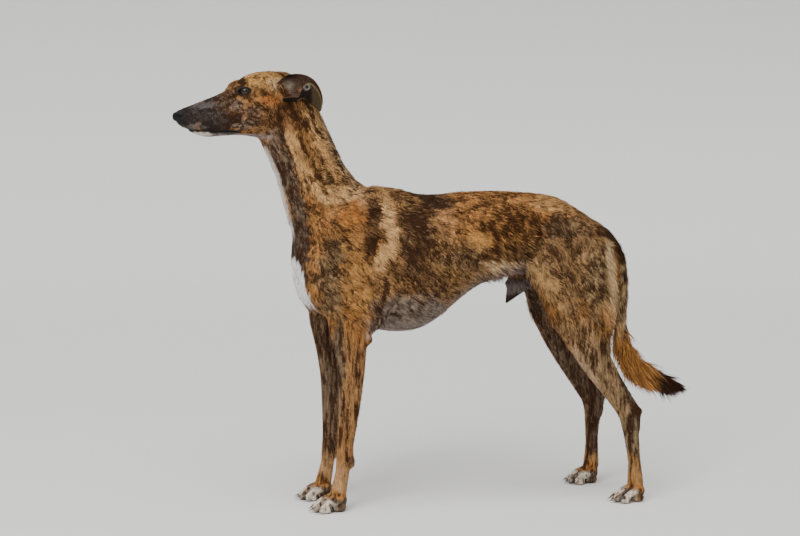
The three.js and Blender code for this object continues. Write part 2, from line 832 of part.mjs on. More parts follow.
/** A closed sheet between two grids of points that share their rows and columns. */
function sheet(front, back) {
  const [rows, columns] = [front.length, front[0].length];
  const points = [...front.flat(), ...back.flat()];
  const shift = rows * columns;
  const faces = [];
  const quad = (a, b, c, d) => faces.push([a, b, c], [a, c, d]);
  for (let r = 0; r < rows; r++) {
    for (let c = 0; c < columns; c++) {
      const a = r * columns + c;
      if (r < rows - 1 && c < columns - 1) {
        quad(a, a + 1, a + 1 + columns, a + columns);
        quad(a + shift, a + shift + columns, a + shift + columns + 1, a + shift + 1);
      }
      if (r < rows - 1 && c === 0) quad(a, a + columns, a + columns + shift, a + shift);
      if (r < rows - 1 && c === columns - 1) quad(a, a + shift, a + shift + columns, a + columns);
      if (c < columns - 1 && r === 0) quad(a, a + shift, a + shift + 1, a + 1);
      if (c < columns - 1 && r === rows - 1) quad(a, a + 1, a + 1 + shift, a + shift);
    }
  }
  return closed(points, faces);
}

/** An ear folded back: a trough along a path, its upper edge curled over to the outside. */
function ear(turn) {
  const path = [
    // [place along the ear, x, y, z, half height, half depth]
    [0, -364, 38, 937, 23, 9],
    [0.25, -343, 48, 946, 30, 13],
    [0.5, -318, 56, 948, 28, 12],
    [0.7, -300, 57, 938, 22, 10],
    [0.87, -286, 53, 917, 14, 7],
    [1, -279, 50, 896, 3, 2],
  ];
  const [x, y, z, tall, flat] = [1, 2, 3, 4, 5].map((i) => curveThrough(path.map((row) => [row[0], row[i]])));
  const at = (u) => new THREE.Vector3(x(u), turn * y(u), z(u));
  const layer = (inset) =>
    Array.from({ length: EAR_STEPS + 1 }, (_, r) => {
      const u = r / EAR_STEPS;
      const along = at(Math.min(u + 0.03, 1)).sub(at(Math.max(u - 0.03, 0))).normalize();
      const out = new THREE.Vector3(0, turn, 0).addScaledVector(along, -turn * along.y).normalize();
      const up = new THREE.Vector3().crossVectors(out, along).multiplyScalar(turn);
      return Array.from({ length: EAR_STEPS + 1 }, (_, c) => {
        const bend = lerp(EAR_LOWER_EDGE, EAR_UPPER_EDGE, c / EAR_STEPS);
        const deep = Math.max(flat(u) - inset, 0.6);
        const high = Math.max(tall(u) - inset, 0.6);
        return at(u)
          .addScaledVector(out, -Math.cos(bend) * deep)
          .addScaledVector(up, Math.sin(bend) * high)
          .toArray();
      });
    });
  return sheet(layer(0), layer(EAR_THICKNESS));
}
const headGrown = [
  loft(grown(headField, CUT_GAP), headSections, 25, 28),
  loft(grown(body, CUT_GAP), [nape, ...neckSections.slice(1)], 7, 24),
];
add("ear_left", cutBack(ear(LEFT), headGrown), "ear");
add("ear_right", cutBack(ear(RIGHT), headGrown), "ear");

const dog = new THREE.Group();
dog.name = "greyhound";
for (const { name, geometry, finish } of parts) {
  const [color, roughness] = FINISH[finish];
  geometry.computeVertexNormals();
  const mesh = new THREE.Mesh(geometry, new THREE.MeshStandardMaterial({ color, roughness, metalness: 0 }));
  mesh.name = name;
  dog.add(mesh);
}
export default dog;
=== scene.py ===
"""Looks of the standing brindle greyhound: a skin over the solids, its coat, eyes, ears and claws.

Millimetres in the shape functions, metres in the meshes. The dog faces -X, its left side is -Y and
the floor is Z = 0. The body is one field, a number for each point of space that is negative inside
the dog, worked out on whole arrays.
"""

from math import pi

import bmesh
import bpy
import numpy as np
from mathutils import Euler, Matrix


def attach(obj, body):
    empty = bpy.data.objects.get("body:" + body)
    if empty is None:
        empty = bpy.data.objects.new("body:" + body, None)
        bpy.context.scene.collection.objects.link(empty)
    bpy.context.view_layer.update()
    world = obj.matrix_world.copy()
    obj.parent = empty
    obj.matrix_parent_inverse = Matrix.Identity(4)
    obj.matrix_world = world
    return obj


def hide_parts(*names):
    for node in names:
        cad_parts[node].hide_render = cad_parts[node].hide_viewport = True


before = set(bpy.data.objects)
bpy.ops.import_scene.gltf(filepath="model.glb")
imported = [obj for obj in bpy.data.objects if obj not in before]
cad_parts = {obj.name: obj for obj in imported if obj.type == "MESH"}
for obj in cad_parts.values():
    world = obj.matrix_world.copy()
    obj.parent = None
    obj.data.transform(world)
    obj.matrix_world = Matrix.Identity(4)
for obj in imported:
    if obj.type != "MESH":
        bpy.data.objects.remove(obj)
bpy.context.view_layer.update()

MM = 0.001
LEFT = -1
RIGHT = 1
RIGHT_FORE_AHEAD = 16
RIGHT_HIND_AHEAD = 40
EYE_RADIUS = 11.5
random = np.random.default_rng(11)


# Small helpers on arrays


def ramp(low, high, x):
    """0 below low, 1 above high, with a smooth S between."""
    t = np.clip((x - low) / (high - low), 0, 1)
    return t * t * (3 - 2 * t)


def bell(v, reach, w=0.0, reach_w=1.0):
    """e to the minus (v / reach) squared, and minus (w / reach_w) squared where w is given."""
    return np.exp(-((v / reach) ** 2) - (w / reach_w) ** 2)


def between(v, low, high):
    """True where v lies between low and high."""
    return (v > low) & (v < high)


def unit(v):
    """v over its length, along the last axis."""
    return v / np.maximum(np.linalg.norm(v, axis=-1, keepdims=True), 1e-9)


def curve_through(pairs):
    """A smooth curve through [x, value] pairs, each tangent taken from the two neighbours."""
    xs, ys = np.array(pairs, float).T
    before = np.maximum(np.arange(len(xs)) - 1, 0)
    after = np.minimum(np.arange(len(xs)) + 1, len(xs) - 1)
    slope = (ys[after] - ys[before]) / (xs[after] - xs[before])

    def value(x):
        x = np.clip(x, xs[0], xs[-1])
        i = np.clip(np.searchsorted(xs, x, side="right") - 1, 0, len(xs) - 2)
        step = xs[i + 1] - xs[i]
        t = (x - xs[i]) / step
        ease = t * t * (3 - 2 * t)
        lean = step * t * (1 - t) * ((1 - t) * slope[i] - t * slope[i + 1])
        return ys[i] + (ys[i + 1] - ys[i]) * ease + lean

    return value


# Shapes of the field


def smooth_min(a, b, k):
    """The smaller of two distances, rounded where they differ by less than k."""
    h = np.maximum(k - np.abs(a - b), 0) / k
    return np.minimum(a, b) - h * h * k / 4


def from_middle(distance, reach):
    """Distance along the ray from an ellipse's middle: reach is the point's share of the radius."""
    return distance - distance / np.maximum(reach, 1e-6)


def bone(a, b, first, last):
    """A tapered rod from a to b; each end has a radius fore and aft and one across."""
    a, b = np.array(a, float), np.array(b, float)
    along = b - a
    square = max(along @ along, 1e-9)

    def value(p):
        d = p - a
        t = np.clip(d @ along / square, 0, 1)
        v = d - t[:, None] * along
        deep = first[0] + (last[0] - first[0]) * t
        wide = first[1] + (last[1] - first[1]) * t
        reach = np.sqrt((v[:, 0] ** 2 + v[:, 2] ** 2) / deep**2 + v[:, 1] ** 2 / wide**2)
        return from_middle(np.linalg.norm(v, axis=1), reach)

    return value


def muscle(a, b, deep, wide):
    """An ellipsoid whose long axis runs from a to b, with its other two radii."""
    a, b = np.array(a, float), np.array(b, float)
    long = np.linalg.norm(b - a) / 2
    u = unit(b - a)
    w = unit(np.array([0, 1.0, 0]) - u[1] * u)
    axes = np.array([u / long, np.cross(u, w) / deep, w / wide])

    def value(p):
        d = p - (a + b) / 2
        return from_middle(np.linalg.norm(d, axis=1), np.linalg.norm(d @ axes.T, axis=1))

    return value


def hull(stations, cap):
    """A hull along X through stations [x, top, bottom, half width, egg], with round ends of length cap."""
    rows = np.array(stations, float)
    top, bottom, half, egg = (curve_through(rows[:, [0, i]]) for i in (1, 2, 3, 4))

    def value(p):
        at = np.clip(p[:, 0], rows[0, 0], rows[-1, 0])
        over = p[:, 0] - at
        high = (top(at) - bottom(at)) / 2
        dz = p[:, 2] - (top(at) + bottom(at)) / 2
        wide = half(at) * (1 + egg(at) * np.clip(dz / high, -1, 1))
        reach = np.sqrt((dz / high) ** 2 + (p[:, 1] / wide) ** 2 + (over / cap) ** 2)
        return from_middle(np.sqrt(dz**2 + p[:, 1] ** 2 + over**2), reach)

    return value


def column(stations):
    """A limb that runs up along Z through stations [z, x, y, radius fore and aft, radius across]."""
    rows = np.array(stations, float)
    mid_x, mid_y, deep, wide = (curve_through(rows[:, [0, i]]) for i in (1, 2, 3, 4))

    def value(p):
        at = np.clip(p[:, 2], rows[0, 0], rows[-1, 0])
        over = p[:, 2] - at
        dx = p[:, 0] - mid_x(at)
        dy = p[:, 1] - mid_y(at)
        reach = np.sqrt((dx / deep(at)) ** 2 + (dy / wide(at)) ** 2 + (over / wide(at)) ** 2)
        return from_middle(np.sqrt(dx**2 + dy**2 + over**2), reach)

    return value


def chain(points, pieces=4):
    """A smooth rod through points [x, y, z, deep, wide], as short rods end to end."""
    points = np.array(points, float)
    n = np.arange(len(points))
    t = np.linspace(0, len(points) - 1, (len(points) - 1) * pieces + 1)
    at = np.stack([curve_through(np.stack([n, points[:, i]], 1))(t) for i in range(5)], 1)
    rods = [bone(q[:3], r[:3], q[3:], r[3:]) for q, r in zip(at[:-1], at[1:])]
    return lambda p: np.min([rod(p) for rod in rods], axis=0)


def melt(k, shapes):
    """Several shapes melted together, each join rounded over k."""

    def value(p):
        d = shapes[0](p)
        for shape in shapes[1:]:
            d = smooth_min(d, shape(p), k)
        return d

    return value


def both_sides(make):
    """The shapes that make gives for the left side, then those for the right."""
    return [*make(LEFT), *make(RIGHT)]


# The animal's field, as the solids have it

trunk = hull(
    [
        [-318, 640, 520, 46, 0.0],
        [-285, 690, 470, 62, 0.05],
        [-240, 722, 436, 74, 0.1],
        [-180, 726, 411, 84, 0.2],
        [-110, 727, 396, 92, 0.24],
        [-50, 713, 401, 97, 0.22],
        [0, 712, 428, 95, 0.16],
        [50, 717, 470, 86, 0.1],
        [105, 719, 505, 75, 0.05],
        [160, 718, 524, 66, 0.05],
        [215, 714, 534, 62, 0.05],
        [275, 704, 545, 62, 0.05],
        [330, 674, 560, 54, 0.0],
        [368, 642, 578, 38, 0.0],
    ],
    16,
)
neck = chain(
    [
        [-342, 0, 892, 66, 45],
        [-317, 0, 820, 73, 45],
        [-286, 0, 735, 82, 52],
        [-250, 0, 664, 98, 66],
    ]
)


def shoulder(s, ahead):
    """Blade and upper arm: ellipsoids moved forward by shares of how far ahead the leg stands."""
    return [
        muscle([-128, s * 32, 722], [-284, s * 62, 540], 48, 26),
        muscle([-290 - ahead / 3, s * 50, 585], [-266 - ahead, s * 66, 448], 39, 27),
        muscle([-288 - ahead, s * 60, 560], [-188 - ahead, s * 73, 402], 44, 26),
        muscle([-128 - ahead, s * 56, 620], [-182 - ahead, s * 75, 396], 46, 24),
        muscle([-304 - ahead / 2, s * 24, 620], [-266 - ahead, s * 34, 440], 36, 30),
    ]


def foreleg(s, ahead):
    """A column up the leg, the point of the elbow and the pad behind the wrist."""
    def station(z, x, y, deep, wide, lean=0.0):
        return [z, x - ahead - lean * ahead, s * y, deep, wide]

    return [
        column(
            [
                station(46, -243, 61, 19, 18),
                station(88, -234, 61, 17, 15.5),
                station(112, -230, 61, 19.5, 17.5),
                station(128, -228, 61, 20.5, 17.5),
                station(150, -227, 62, 20, 15.5),
                station(215, -221, 65, 25, 16.5, 0.1),
                station(290, -216, 69, 30, 20, 0.3),
                station(350, -216, 73, 36, 24, 0.5),
                station(420, -222, 73, 46, 25, 0.5),
                station(500, -232, 70, 44, 18, 0.3),
            ]
        ),
        muscle([-188 - ahead * 1.5, s * 77, 404], [-179 - ahead * 1.5, s * 78, 381], 16, 12),
        bone([-215 - ahead, s * 61, 113], [-212 - ahead, s * 61, 106], [9, 9], [7, 8]),
    ]


def haunch(s):
    """The thigh's and rump's muscles as ellipsoids."""
    return [
        muscle([215, s * 34, 682], [376, s * 46, 578], 44, 34),
        muscle([262, s * 44, 660], [280, s * 88, 392], 50, 34),
        muscle([366, s * 40, 640], [352, s * 84, 372], 54, 36),
        muscle([318, s * 62, 560], [322, s * 90, 352], 62, 28),
        muscle([205, s * 40, 572], [276, s * 70, 440], 30, 14),
    ]


def hindleg(s, ahead):
    """A column up the leg, moved forward less the higher it is, with the hock's point and its tendon."""
    def station(z, x, y, deep, wide, share):
        return [z, x - ahead * share, s * y, deep, wide]

    hock = 436 - ahead * 0.55
    return [
        column(
            [
                station(46, 446, 100, 20, 18, 1),
                station(92, 443, 100, 17, 15, 0.9),
                station(140, 437, 99, 19, 14.5, 0.75),
                station(178, 432, 98, 23, 16, 0.6),
                station(204, 425, 98, 25, 16, 0.55),
                station(236, 405, 97, 28, 16, 0.5),
                station(276, 377, 94, 32, 18, 0.4),
                station(320, 351, 90, 40, 23, 0.3),
                station(372, 333, 85, 54, 30, 0.25),
                station(430, 325, 80, 66, 34, 0.15),
                station(530, 325, 64, 60, 28, 0),
            ]
        ),
        bone([hock + 16, s * 98, 208], [hock + 6, s * 98, 176], [9, 9], [14, 12]),
        bone([382 - ahead * 0.4, s * 92, 316], [hock + 15, s * 98, 212], [13, 9], [8, 7]),
    ]


TOES = [(-19, -8, -5), (-6.5, 5, -1.5), (6.5, 5, 1.5), (19, -8, 5)]  # out, reach, spread
GAPS_BETWEEN_TOES = (-13, 0, 13)
PAWS = [
    [-255, -61, LEFT],
    [-255 - RIGHT_FORE_AHEAD, 61, RIGHT],
    [438, -100, LEFT],
    [432 - RIGHT_HIND_AHEAD, 100, RIGHT],
]


def paw(x, y, s):
    """A foot whose middle is at [x, y]: four arched toes and their pads."""
    shapes = [
        muscle([x - 16, y, 18], [x + 32, y, 28], 19, 22),
        muscle([x - 8, y, 8], [x + 30, y, 9], 12, 21),
    ]
    for out, reach, spread in TOES:

        def toe(forward, width, height, radius):
            return [x - forward - reach, y + s * (out + spread * width), height, radius, radius * 0.84]

        shapes.append(chain([toe(-6, 0, 31, 10.5), toe(16, 0.6, 24, 9.5), toe(36, 1, 10.5, 8)]))
        shapes.append(chain([toe(24, 0.8, 7, 8), toe(35, 1, 7, 7.5)], 1))
    return melt(4, shapes)


TAIL = [
    [334, 0, 648, 20, 22],
    [388, 0, 616, 20, 16],
    [424, 0, 576, 17, 12],
    [440, 0, 530, 15, 11],
    [443, 0, 468, 16, 10],
    [441, 0, 402, 17, 9],
    [447, 0, 350, 20, 8],
    [470, 0, 306, 24, 8],
    [508, 0, 279, 23, 7],
    [548, 0, 261, 15, 5],
    [590, 0, 248, 4, 3],
]
head_hull = hull(
    [
        [-593, 895, 873, 9, 0],
        [-586, 899.5, 865, 14, -0.1],
        [-570, 906, 855, 17, -0.2],
        [-555, 912, 847, 19, -0.25],
        [-530, 922, 839.5, 22, -0.25],
        [-505, 932, 840.5, 26, -0.25],
        [-482, 944, 842, 30, -0.2],
        [-462, 961, 843, 35, -0.1],
        [-440, 976, 842, 40, 0],
        [-420, 983, 839, 44, 0.05],
        [-395, 987, 838, 46, 0.1],
        [-365, 987, 845, 44, 0.1],
        [-340, 982, 862, 39, 0.05],
        [-322, 966, 885, 30, 0],
    ],
    8,
)


def head_muscles(s):
    """Temple, brow, cheek, jaw and lip as ellipsoids."""
    return [
        muscle([-446, s * 20, 948], [-346, s * 26, 958], 26, 22),
        muscle([-484, s * 14, 941], [-406, s * 40, 942], 18, 14),
        muscle([-476, s * 20, 953], [-432, s * 32, 962], 9, 9),
        muscle([-490, s * 20, 914], [-392, s * 42, 920], 11, 11),
        muscle([-452, s * 28, 872], [-366, s * 37, 908], 31, 19),
        muscle([-562, s * 9, 868], [-470, s * 22, 866], 12, 11),
    ]


throat = bone([-398, 0, 850], [-362, 0, 785], [18, 24], [18, 26])
sheath = melt(
    8,
    [
        muscle([246, 0, 514], [158, 0, 502], 20, 14),
        bone([190, 0, 504], [163, 0, 460], [29, 12], [4.5, 4]),
    ],
)
head = melt(9, [throat, head_hull, *both_sides(head_muscles)])
torso = melt(26, [trunk, neck, *shoulder(LEFT, 0), *shoulder(RIGHT, RIGHT_FORE_AHEAD), *both_sides(haunch)])
legs = melt(
    12,
    [
        *foreleg(LEFT, 0),
        *foreleg(RIGHT, RIGHT_FORE_AHEAD),
        *hindleg(LEFT, 0),
        *hindleg(RIGHT, RIGHT_HIND_AHEAD),
    ],
)
tail = chain(TAIL)
paws = [paw(*place) for place in PAWS]


def melt_where(d, near, shape, k, p):
    """d with one more shape melted in at the points where near is true."""
    d = d.copy()
    if near.any():
        d[near] = smooth_min(d[near], shape(p[near]), k)
    return d


JOIN = 22  # how widely head and legs melt into the trunk
ARMPIT_JOIN = 5  # and the forelegs below the armpit


def body(p):
    """The dog without its tail, sheath and relief: head, legs and paws melted into the trunk."""
    d = torso(p)
    low = p[:, 2] < 640
    join = np.where(p[low, 0] > 0, JOIN, ARMPIT_JOIN + (JOIN - ARMPIT_JOIN) * ramp(405, 480, p[low, 2]))
    d = melt_where(d, low, legs, join, p)
    d = melt_where(d, p[:, 0] < -300, head, JOIN, p)
    for place, foot in zip(PAWS, paws):
        near = (p[:, 2] < 90) & (np.abs(p[:, 0] - place[0]) < 80) & (np.abs(p[:, 1] - place[1]) < 60)
        d = melt_where(d, near, foot, 9, p)
    return np.maximum(d, -p[:, 2])


def cast_out(field, start, way, low, high):
    """How far from start along way the field turns positive, by halving."""
    for _ in range(30):
        middle = (low + high) / 2
        if field((start + way * middle)[None])[0] < 0:
            low = middle
        else:
            high = middle
    return low


EYE_OUT = 2.4  # how far the front of an eyeball stands out past the head without its lids
LID = 1.5  # thickness of the lids
OPENING_LONG, OPENING_TALL = 11.8, 5.6  # half the opening between the lids
OPENING_RISE = 0.4  # how far its middle lies above the eye's


def eye_frame(s):
    """(middle, outward axis, fissure axis, upward axis) of an eye."""
    way = unit(np.array([-0.5, s * 0.86, 0.08]))
    start = np.array([-422.0, 0.0, 935.5])
    middle = start + way * (cast_out(body, start, way, 0, 60) + EYE_OUT - EYE_RADIUS)
    fissure = unit(np.cross(way, [0, 0, 1.0]) * -s + np.array([0, 0, -0.16]))
    fissure = unit(fissure - (fissure @ way) * way)
    upward = np.cross(way, fissure)
    return middle, way, fissure, upward * np.sign(upward[2])


EYES = [eye_frame(LEFT), eye_frame(RIGHT)]

# Details of the head and the coat's depth

MOUTH = curve_through([[-577, 860], [-560, 854.5], [-530, 853], [-495, 853.5], [-470, 853], [-452, 851]])


def eyelid(p, d, eye):
    """Lids: a shell over the eyeball melted into the head, cut open along an almond."""
    middle, way, fissure, upward = eye
    v = p - middle
    far = np.linalg.norm(v, axis=1)
    near = far < 34
    v, q = v[near], far[near]
    u = v @ fissure
    w = v @ upward
    out = v @ way
    lids = np.maximum(q - (EYE_RADIUS + LID), -out)
    skin = smooth_min(d[near], lids, 4)
    tall = OPENING_TALL * np.sqrt(np.clip(1 - (u / OPENING_LONG) ** 2, 0, 1)) * (1 + 0.12 * u / 11)
    almond = np.maximum(np.abs(w - OPENING_RISE) - tall, np.abs(u) - OPENING_LONG)
    opening = np.maximum(almond, np.maximum((EYE_RADIUS - 2.2) - q, -out))
    cut = -smooth_min(-skin, opening, 1.4)
    crease = np.exp(-(((np.abs(w - 1.5) - 9.4) / 1.3) ** 2) - (u / 11) ** 4) * (out > 0)
    d = d.copy()
    d[near] = cut + 0.8 * crease
    return d


def head_details(p, d):
    """Nostrils, the line of the mouth, the groove under the nose and the lids."""
    near = p[:, 0] < -400
    if not near.any():
        return d
    q, e = p[near], d[near]
    x, y, z = q.T
    side = np.abs(y)
    nostril = muscle([-604, 4.5, 883], [-580, 11.5, 884], 4.4, 3.4)(np.stack([x, side, z], 1))
    slit = muscle([-589, 10, 881.5], [-576, 15.5, 885], 1.9, 3.0)(np.stack([x, side, z], 1))
    e = -smooth_min(-e, np.minimum(nostril, slit), 2)
    along = ramp(-580, -570, x) * (1 - ramp(-462, -448, x))
    lip = bell(z - MOUTH(x), 1.5) * along
    roll = bell(z - MOUTH(x) - 4.2, 3) * along
    groove = bell(y, 1.3) * ramp(-578, -586, x) * ramp(888, 872, z)
    leather = bell(x + 579 + 0.12 * (z - 880), 2.0) * ramp(860, 868, z)
    e = e + 2.6 * lip - 0.8 * roll + 1.5 * groove + 0.6 * leather
    vein = bell(z - 893 - 0.25 * (x + 500), 5) * bell(x + 492, 26)
    hollow = bell(z - 926, 9) * bell(x + 496, 17) * ramp(6, 16, side)
    temple = bell(z - 962, 9) * bell(x + 412, 24) * ramp(18, 30, side)
    furrow = bell(y, 4) * bell(x + 446, 34) * ramp(955, 968, z)
    e = e - 0.7 * vein + 2.2 * hollow + 1.6 * temple + 1.2 * furrow
    for eye in EYES:
        e = eyelid(q, e, eye)
    d = d.copy()
    d[near] = e
    return d


def body_details(p, d):
    """Shallow relief under a thin coat: blade and ribs, thigh and tendon lines, folds of the neck."""
    x, y, z = p.T
    side = np.abs(y)
    ribs = np.sin((x + 0.35 * (z - 500)) / 26 * 2 * pi) * bell(x + 25, 95, z - 540, 90)
    spine = bell(x + 185 + 0.42 * (z - 640), 9) * bell(z - 640, 62)
    crease = bell(x + 142 - 0.28 * (z - 524), 10) * bell(z - 480, 75)
    armpit = bell(x + 148, 13, z - 400, 14)
    elbow = bell(x + 168, 13, z - 384, 13)
    thigh = bell(x - 318 + 0.2 * (z - 520), 11) * bell(z - 500, 85)
    hip = bell(x - 262, 24, z - 668, 20)
    loin = bell(x - 205, 26) * bell(z - 600, 55)
    gully = bell(z - 724, 30) * bell(y, 5) * ramp(-60, 0, x)
    vein = bell(x + 262 + 0.55 * (z - 760), 7) * bell(z - 750, 90)
    relief = 0.5 * ribs - 1.6 * spine + 3.4 * crease + 10 * armpit - 5.5 * elbow
    relief = relief + 2.2 * thigh - 3.0 * hip + 1.8 * loin + 0.8 * vein
    relief = relief * ramp(20, 45, side) + 1.4 * gully * (1 - ramp(200, 280, x))
    return d + relief * ramp(330, 375, z)


def coat_depth(p):
    """How far the skin lies under the coat's tips: less on the face, the legs and the tail's tip."""
    x, y, z = p.T
    depth = 2.6 - 1.5 * ramp(-380, -440, x) * ramp(780, 840, z)
    depth = depth - 1.0 * ramp(420, 300, z) * (x < 405)
    depth = depth - 0.6 * ramp(110, 50, z)
    thin = (np.abs(y) < 22) * (z > 228)
    brush = ramp(400, 425, x) * ramp(470, 380, z) * ramp(230, 262, z) * thin
    tip = ramp(530, 565, x) * thin
    purse = between(x, 150, 260) & between(z, 440, 505) & (np.abs(y) < 22)
    breech = bell(x - 388, 26) * np.exp(-(((z - 520) / 110) ** 4)) * ramp(16, 34, np.abs(y))
    return depth + 2.2 * brush - 4.2 * tip - 2.0 * purse + 2.6 * breech


def flesh(p):
    """The whole dog's skin: the solids' field with its relief, drawn in by the coat's depth."""
    d = body(p)
    behind = (p[:, 0] > 300) & (np.abs(p[:, 1]) < 60) & (p[:, 2] > 200)
    d = melt_where(d, behind, tail, 12, p)
    under = between(p[:, 0], 120, 270) & (p[:, 2] < 560) & (np.abs(p[:, 1]) < 50)
    d = melt_where(d, under, sheath, 12, p)
    d = body_details(p, d)
    d = head_details(p, d + coat_depth(p))
    return np.maximum(d, 0.4 - p[:, 2])


# The skin's mesh

SKIN_BOX = [-612, -146, -8], [606, 146, 1002]
SKIN_STEP = 5.0
FAR = 50.0  # stands for the field where it isn't worked out
NEAR_BLOCK = 1.4  # a block is near the surface within this share of its size
SLIDE = 0.6  # the share of the way to its neighbours' middle that a vertex is slid
FINE_SLIDE = 0.5  # the same where the faces are halved


def field_grid(low, high, step, block=4):
    """The field on a grid: in full in the blocks that the surface may cross, plus or minus FAR elsewhere."""
    count = [int(np.ceil((b - a) / (step * block))) * block + 1 for a, b in zip(low, high)]
    axes = [a + step * np.arange(n) for a, n in zip(low, count)]
    grid = np.full(count, FAR, np.float32)
    coarse = [a[block // 2 :: block] for a in axes]
    middles = np.stack(np.meshgrid(*coarse, indexing="ij"), -1).reshape(-1, 3)
    at_middle = flesh(middles)
    near = np.abs(at_middle) < NEAR_BLOCK * block * step
    index = np.stack(np.meshgrid(*[np.arange(len(c)) for c in coarse], indexing="ij"), -1).reshape(-1, 3)
    shift = np.stack(np.meshgrid(*[np.arange(block + 1)] * 3, indexing="ij"), -1).reshape(-1, 3)

    def cells_of(blocks):
        cells = (index[blocks][:, None] * block + shift).reshape(-1, 3)
        return cells[(cells < np.array(count)).all(1)]

    grid[tuple(cells_of(~near & (at_middle < 0)).T)] = -FAR
    cells = np.unique(cells_of(near), axis=0)
    grid[tuple(cells.T)] = flesh(np.stack([axes[i][cells[:, i]] for i in range(3)], 1))
    return axes, grid


def surface_nets(axes, grid):
    """The zero surface: a vertex in each crossed cell at the mean of its edges' crossings, and quads."""
    inside = grid < 0
    corner = np.array([[i, j, k] for i in (0, 1) for j in (0, 1) for k in (0, 1)])
    size = np.array(grid.shape) - 1
    at_corner = [inside[tuple(slice(c, c + n) for c, n in zip(start, size))] for start in corner]
    total = sum(part.astype(np.int8) for part in at_corner)
    cells = np.argwhere((total > 0) & (total < 8))
    ids = np.full(size, -1)
    ids[tuple(cells.T)] = np.arange(len(cells))
    value = np.stack([grid[tuple((cells + c).T)] for c in corner], 1).astype(float)
    place = np.zeros((len(cells), 3))
    hits = np.zeros(len(cells))
    for a in range(8):
        for b in range(a + 1, 8):
            if np.abs(corner[a] - corner[b]).sum() != 1:
                continue
            crossed = (value[:, a] < 0) != (value[:, b] < 0)
            t = value[:, a] / np.where(crossed, value[:, a] - value[:, b], 1)
            at = corner[a] + t[:, None] * (corner[b] - corner[a])
            place += np.where(crossed[:, None], at, 0)
            hits += crossed
    place = cells + place / hits[:, None]
    low = np.array([a[0] for a in axes])
    step = axes[0][1] - axes[0][0]
    quads = []
    for axis in range(3):
        u, v = [i for i in range(3) if i != axis]
        ahead = np.eye(3, dtype=int)[axis]
        first = inside[tuple(slice(0, n - ahead[i]) for i, n in enumerate(grid.shape))]
        second = inside[tuple(slice(ahead[i], n) for i, n in enumerate(grid.shape))]
        edges = np.argwhere(first != second)
        edges = edges[between(edges[:, u], 0, size[u]) & between(edges[:, v], 0, size[v])]
        du, dv = np.eye(3, dtype=int)[u], np.eye(3, dtype=int)[v]
        ring = [ids[tuple((edges - a * du - b * dv).T)] for a, b in ((0, 0), (1, 0), (1, 1), (0, 1))]
        quad = np.stack(ring, 1)
        out = inside[tuple(edges.T)] == (axis != 1)
        quad[~out] = quad[~out][:, ::-1]
        quads.append(quad)
    quads = np.concatenate(quads)
    return low + place * step, quads[(quads >= 0).all(1)]


def gradient(p, step=0.3):
    """The field and its slope at each point."""
    d = flesh(p)
    return d, np.stack([flesh(p + shift) - d for shift in np.eye(3) * step], 1) / step


def onto_surface(p, steps=2):
    """Points moved by field over slope along the slope, at most 3 mm a step, to the zero surface."""
    for _ in range(steps):
        d, g = gradient(p)
        slope = np.maximum((g**2).sum(1), 0.25)
        p = p - np.clip(d / slope, -3, 3)[:, None] * g
    return p


def neighbour_mean(p, edges):
    """The mean of each vertex's neighbours."""
    total = np.zeros_like(p)
    count = np.zeros(len(p))
    for a, b in (edges.T, edges.T[::-1]):
        np.add.at(total, a, p[b])
        np.add.at(count, a, 1)
    return total / count[:, None]


def relax(p, edges, rounds):
    """Vertices slid towards the mean of their neighbours, and back onto the surface."""
    for _ in range(rounds):
        p = onto_surface(p + SLIDE * (neighbour_mean(p, edges) - p), 1)
    return p


def to_mesh(name, points, faces):
    """A mesh in metres from points in millimetres."""
    mesh = bpy.data.meshes.new(name)
    mesh.from_pydata((points * MM).tolist(), [], [list(map(int, f)) for f in faces])
    mesh.update()
    return mesh


def shade_smooth(mesh):
    """Every face shaded as part of a curve."""
    mesh.polygons.foreach_set("use_smooth", [True] * len(mesh.polygons))


def turn_outwards(mesh):
    """Faces turned to point outwards and shaded smooth."""
    bm = bmesh.new()
    bm.from_mesh(mesh)
    bmesh.ops.recalc_face_normals(bm, faces=bm.faces)
    bm.to_mesh(mesh)
    bm.free()
    shade_smooth(mesh)


def coordinates(mesh):
    """The vertices' places in millimetres."""
    out = np.empty(len(mesh.vertices) * 3)
    mesh.vertices.foreach_get("co", out)
    return out.reshape(-1, 3) / MM


def edge_pairs(mesh):
    """The two vertices of each edge."""
    out = np.empty(len(mesh.edges) * 2, int)
    mesh.edges.foreach_get("vertices", out)
    return out.reshape(-1, 2)


def divide_near(mesh, chosen):
    """Halves every edge of the faces whose middles are chosen, and fills the faces in."""
    bm = bmesh.new()
    bm.from_mesh(mesh)
    middles = np.array([f.calc_center_median() for f in bm.faces]) / MM
    bm.faces.ensure_lookup_table()
    edges = {e for i in np.flatnonzero(chosen(middles)) for e in bm.faces[i].edges}
    bmesh.ops.subdivide_edges(bm, edges=list(edges), cuts=1, use_grid_fill=True)
    bmesh.ops.triangulate(bm, faces=[f for f in bm.faces if len(f.verts) > 4])
    bm.to_mesh(mesh)
    bm.free()


def fine_places(p):
    """The head, the feet and the thin tips of the tail and sheath."""
    head_part = (p[:, 0] < -385) & (p[:, 2] > 800)
    tips = (p[:, 0] > 530) | (between(p[:, 0], 150, 215) & (p[:, 2] < 492) & (np.abs(p[:, 1]) < 18))
    return head_part | (p[:, 2] < 62) | tips


def finest_places(p):
    """Round the eyes, the nose and along the mouth."""
    eyes = np.min([np.linalg.norm(p - eye[0], axis=1) for eye in EYES], axis=0) < 21
    nose = (p[:, 0] < -562) & (p[:, 2] > 850)
    mouth = (p[:, 0] < -442) & (np.abs(p[:, 2] - MOUTH(p[:, 0])) < 5)
    return eyes | nose | mouth


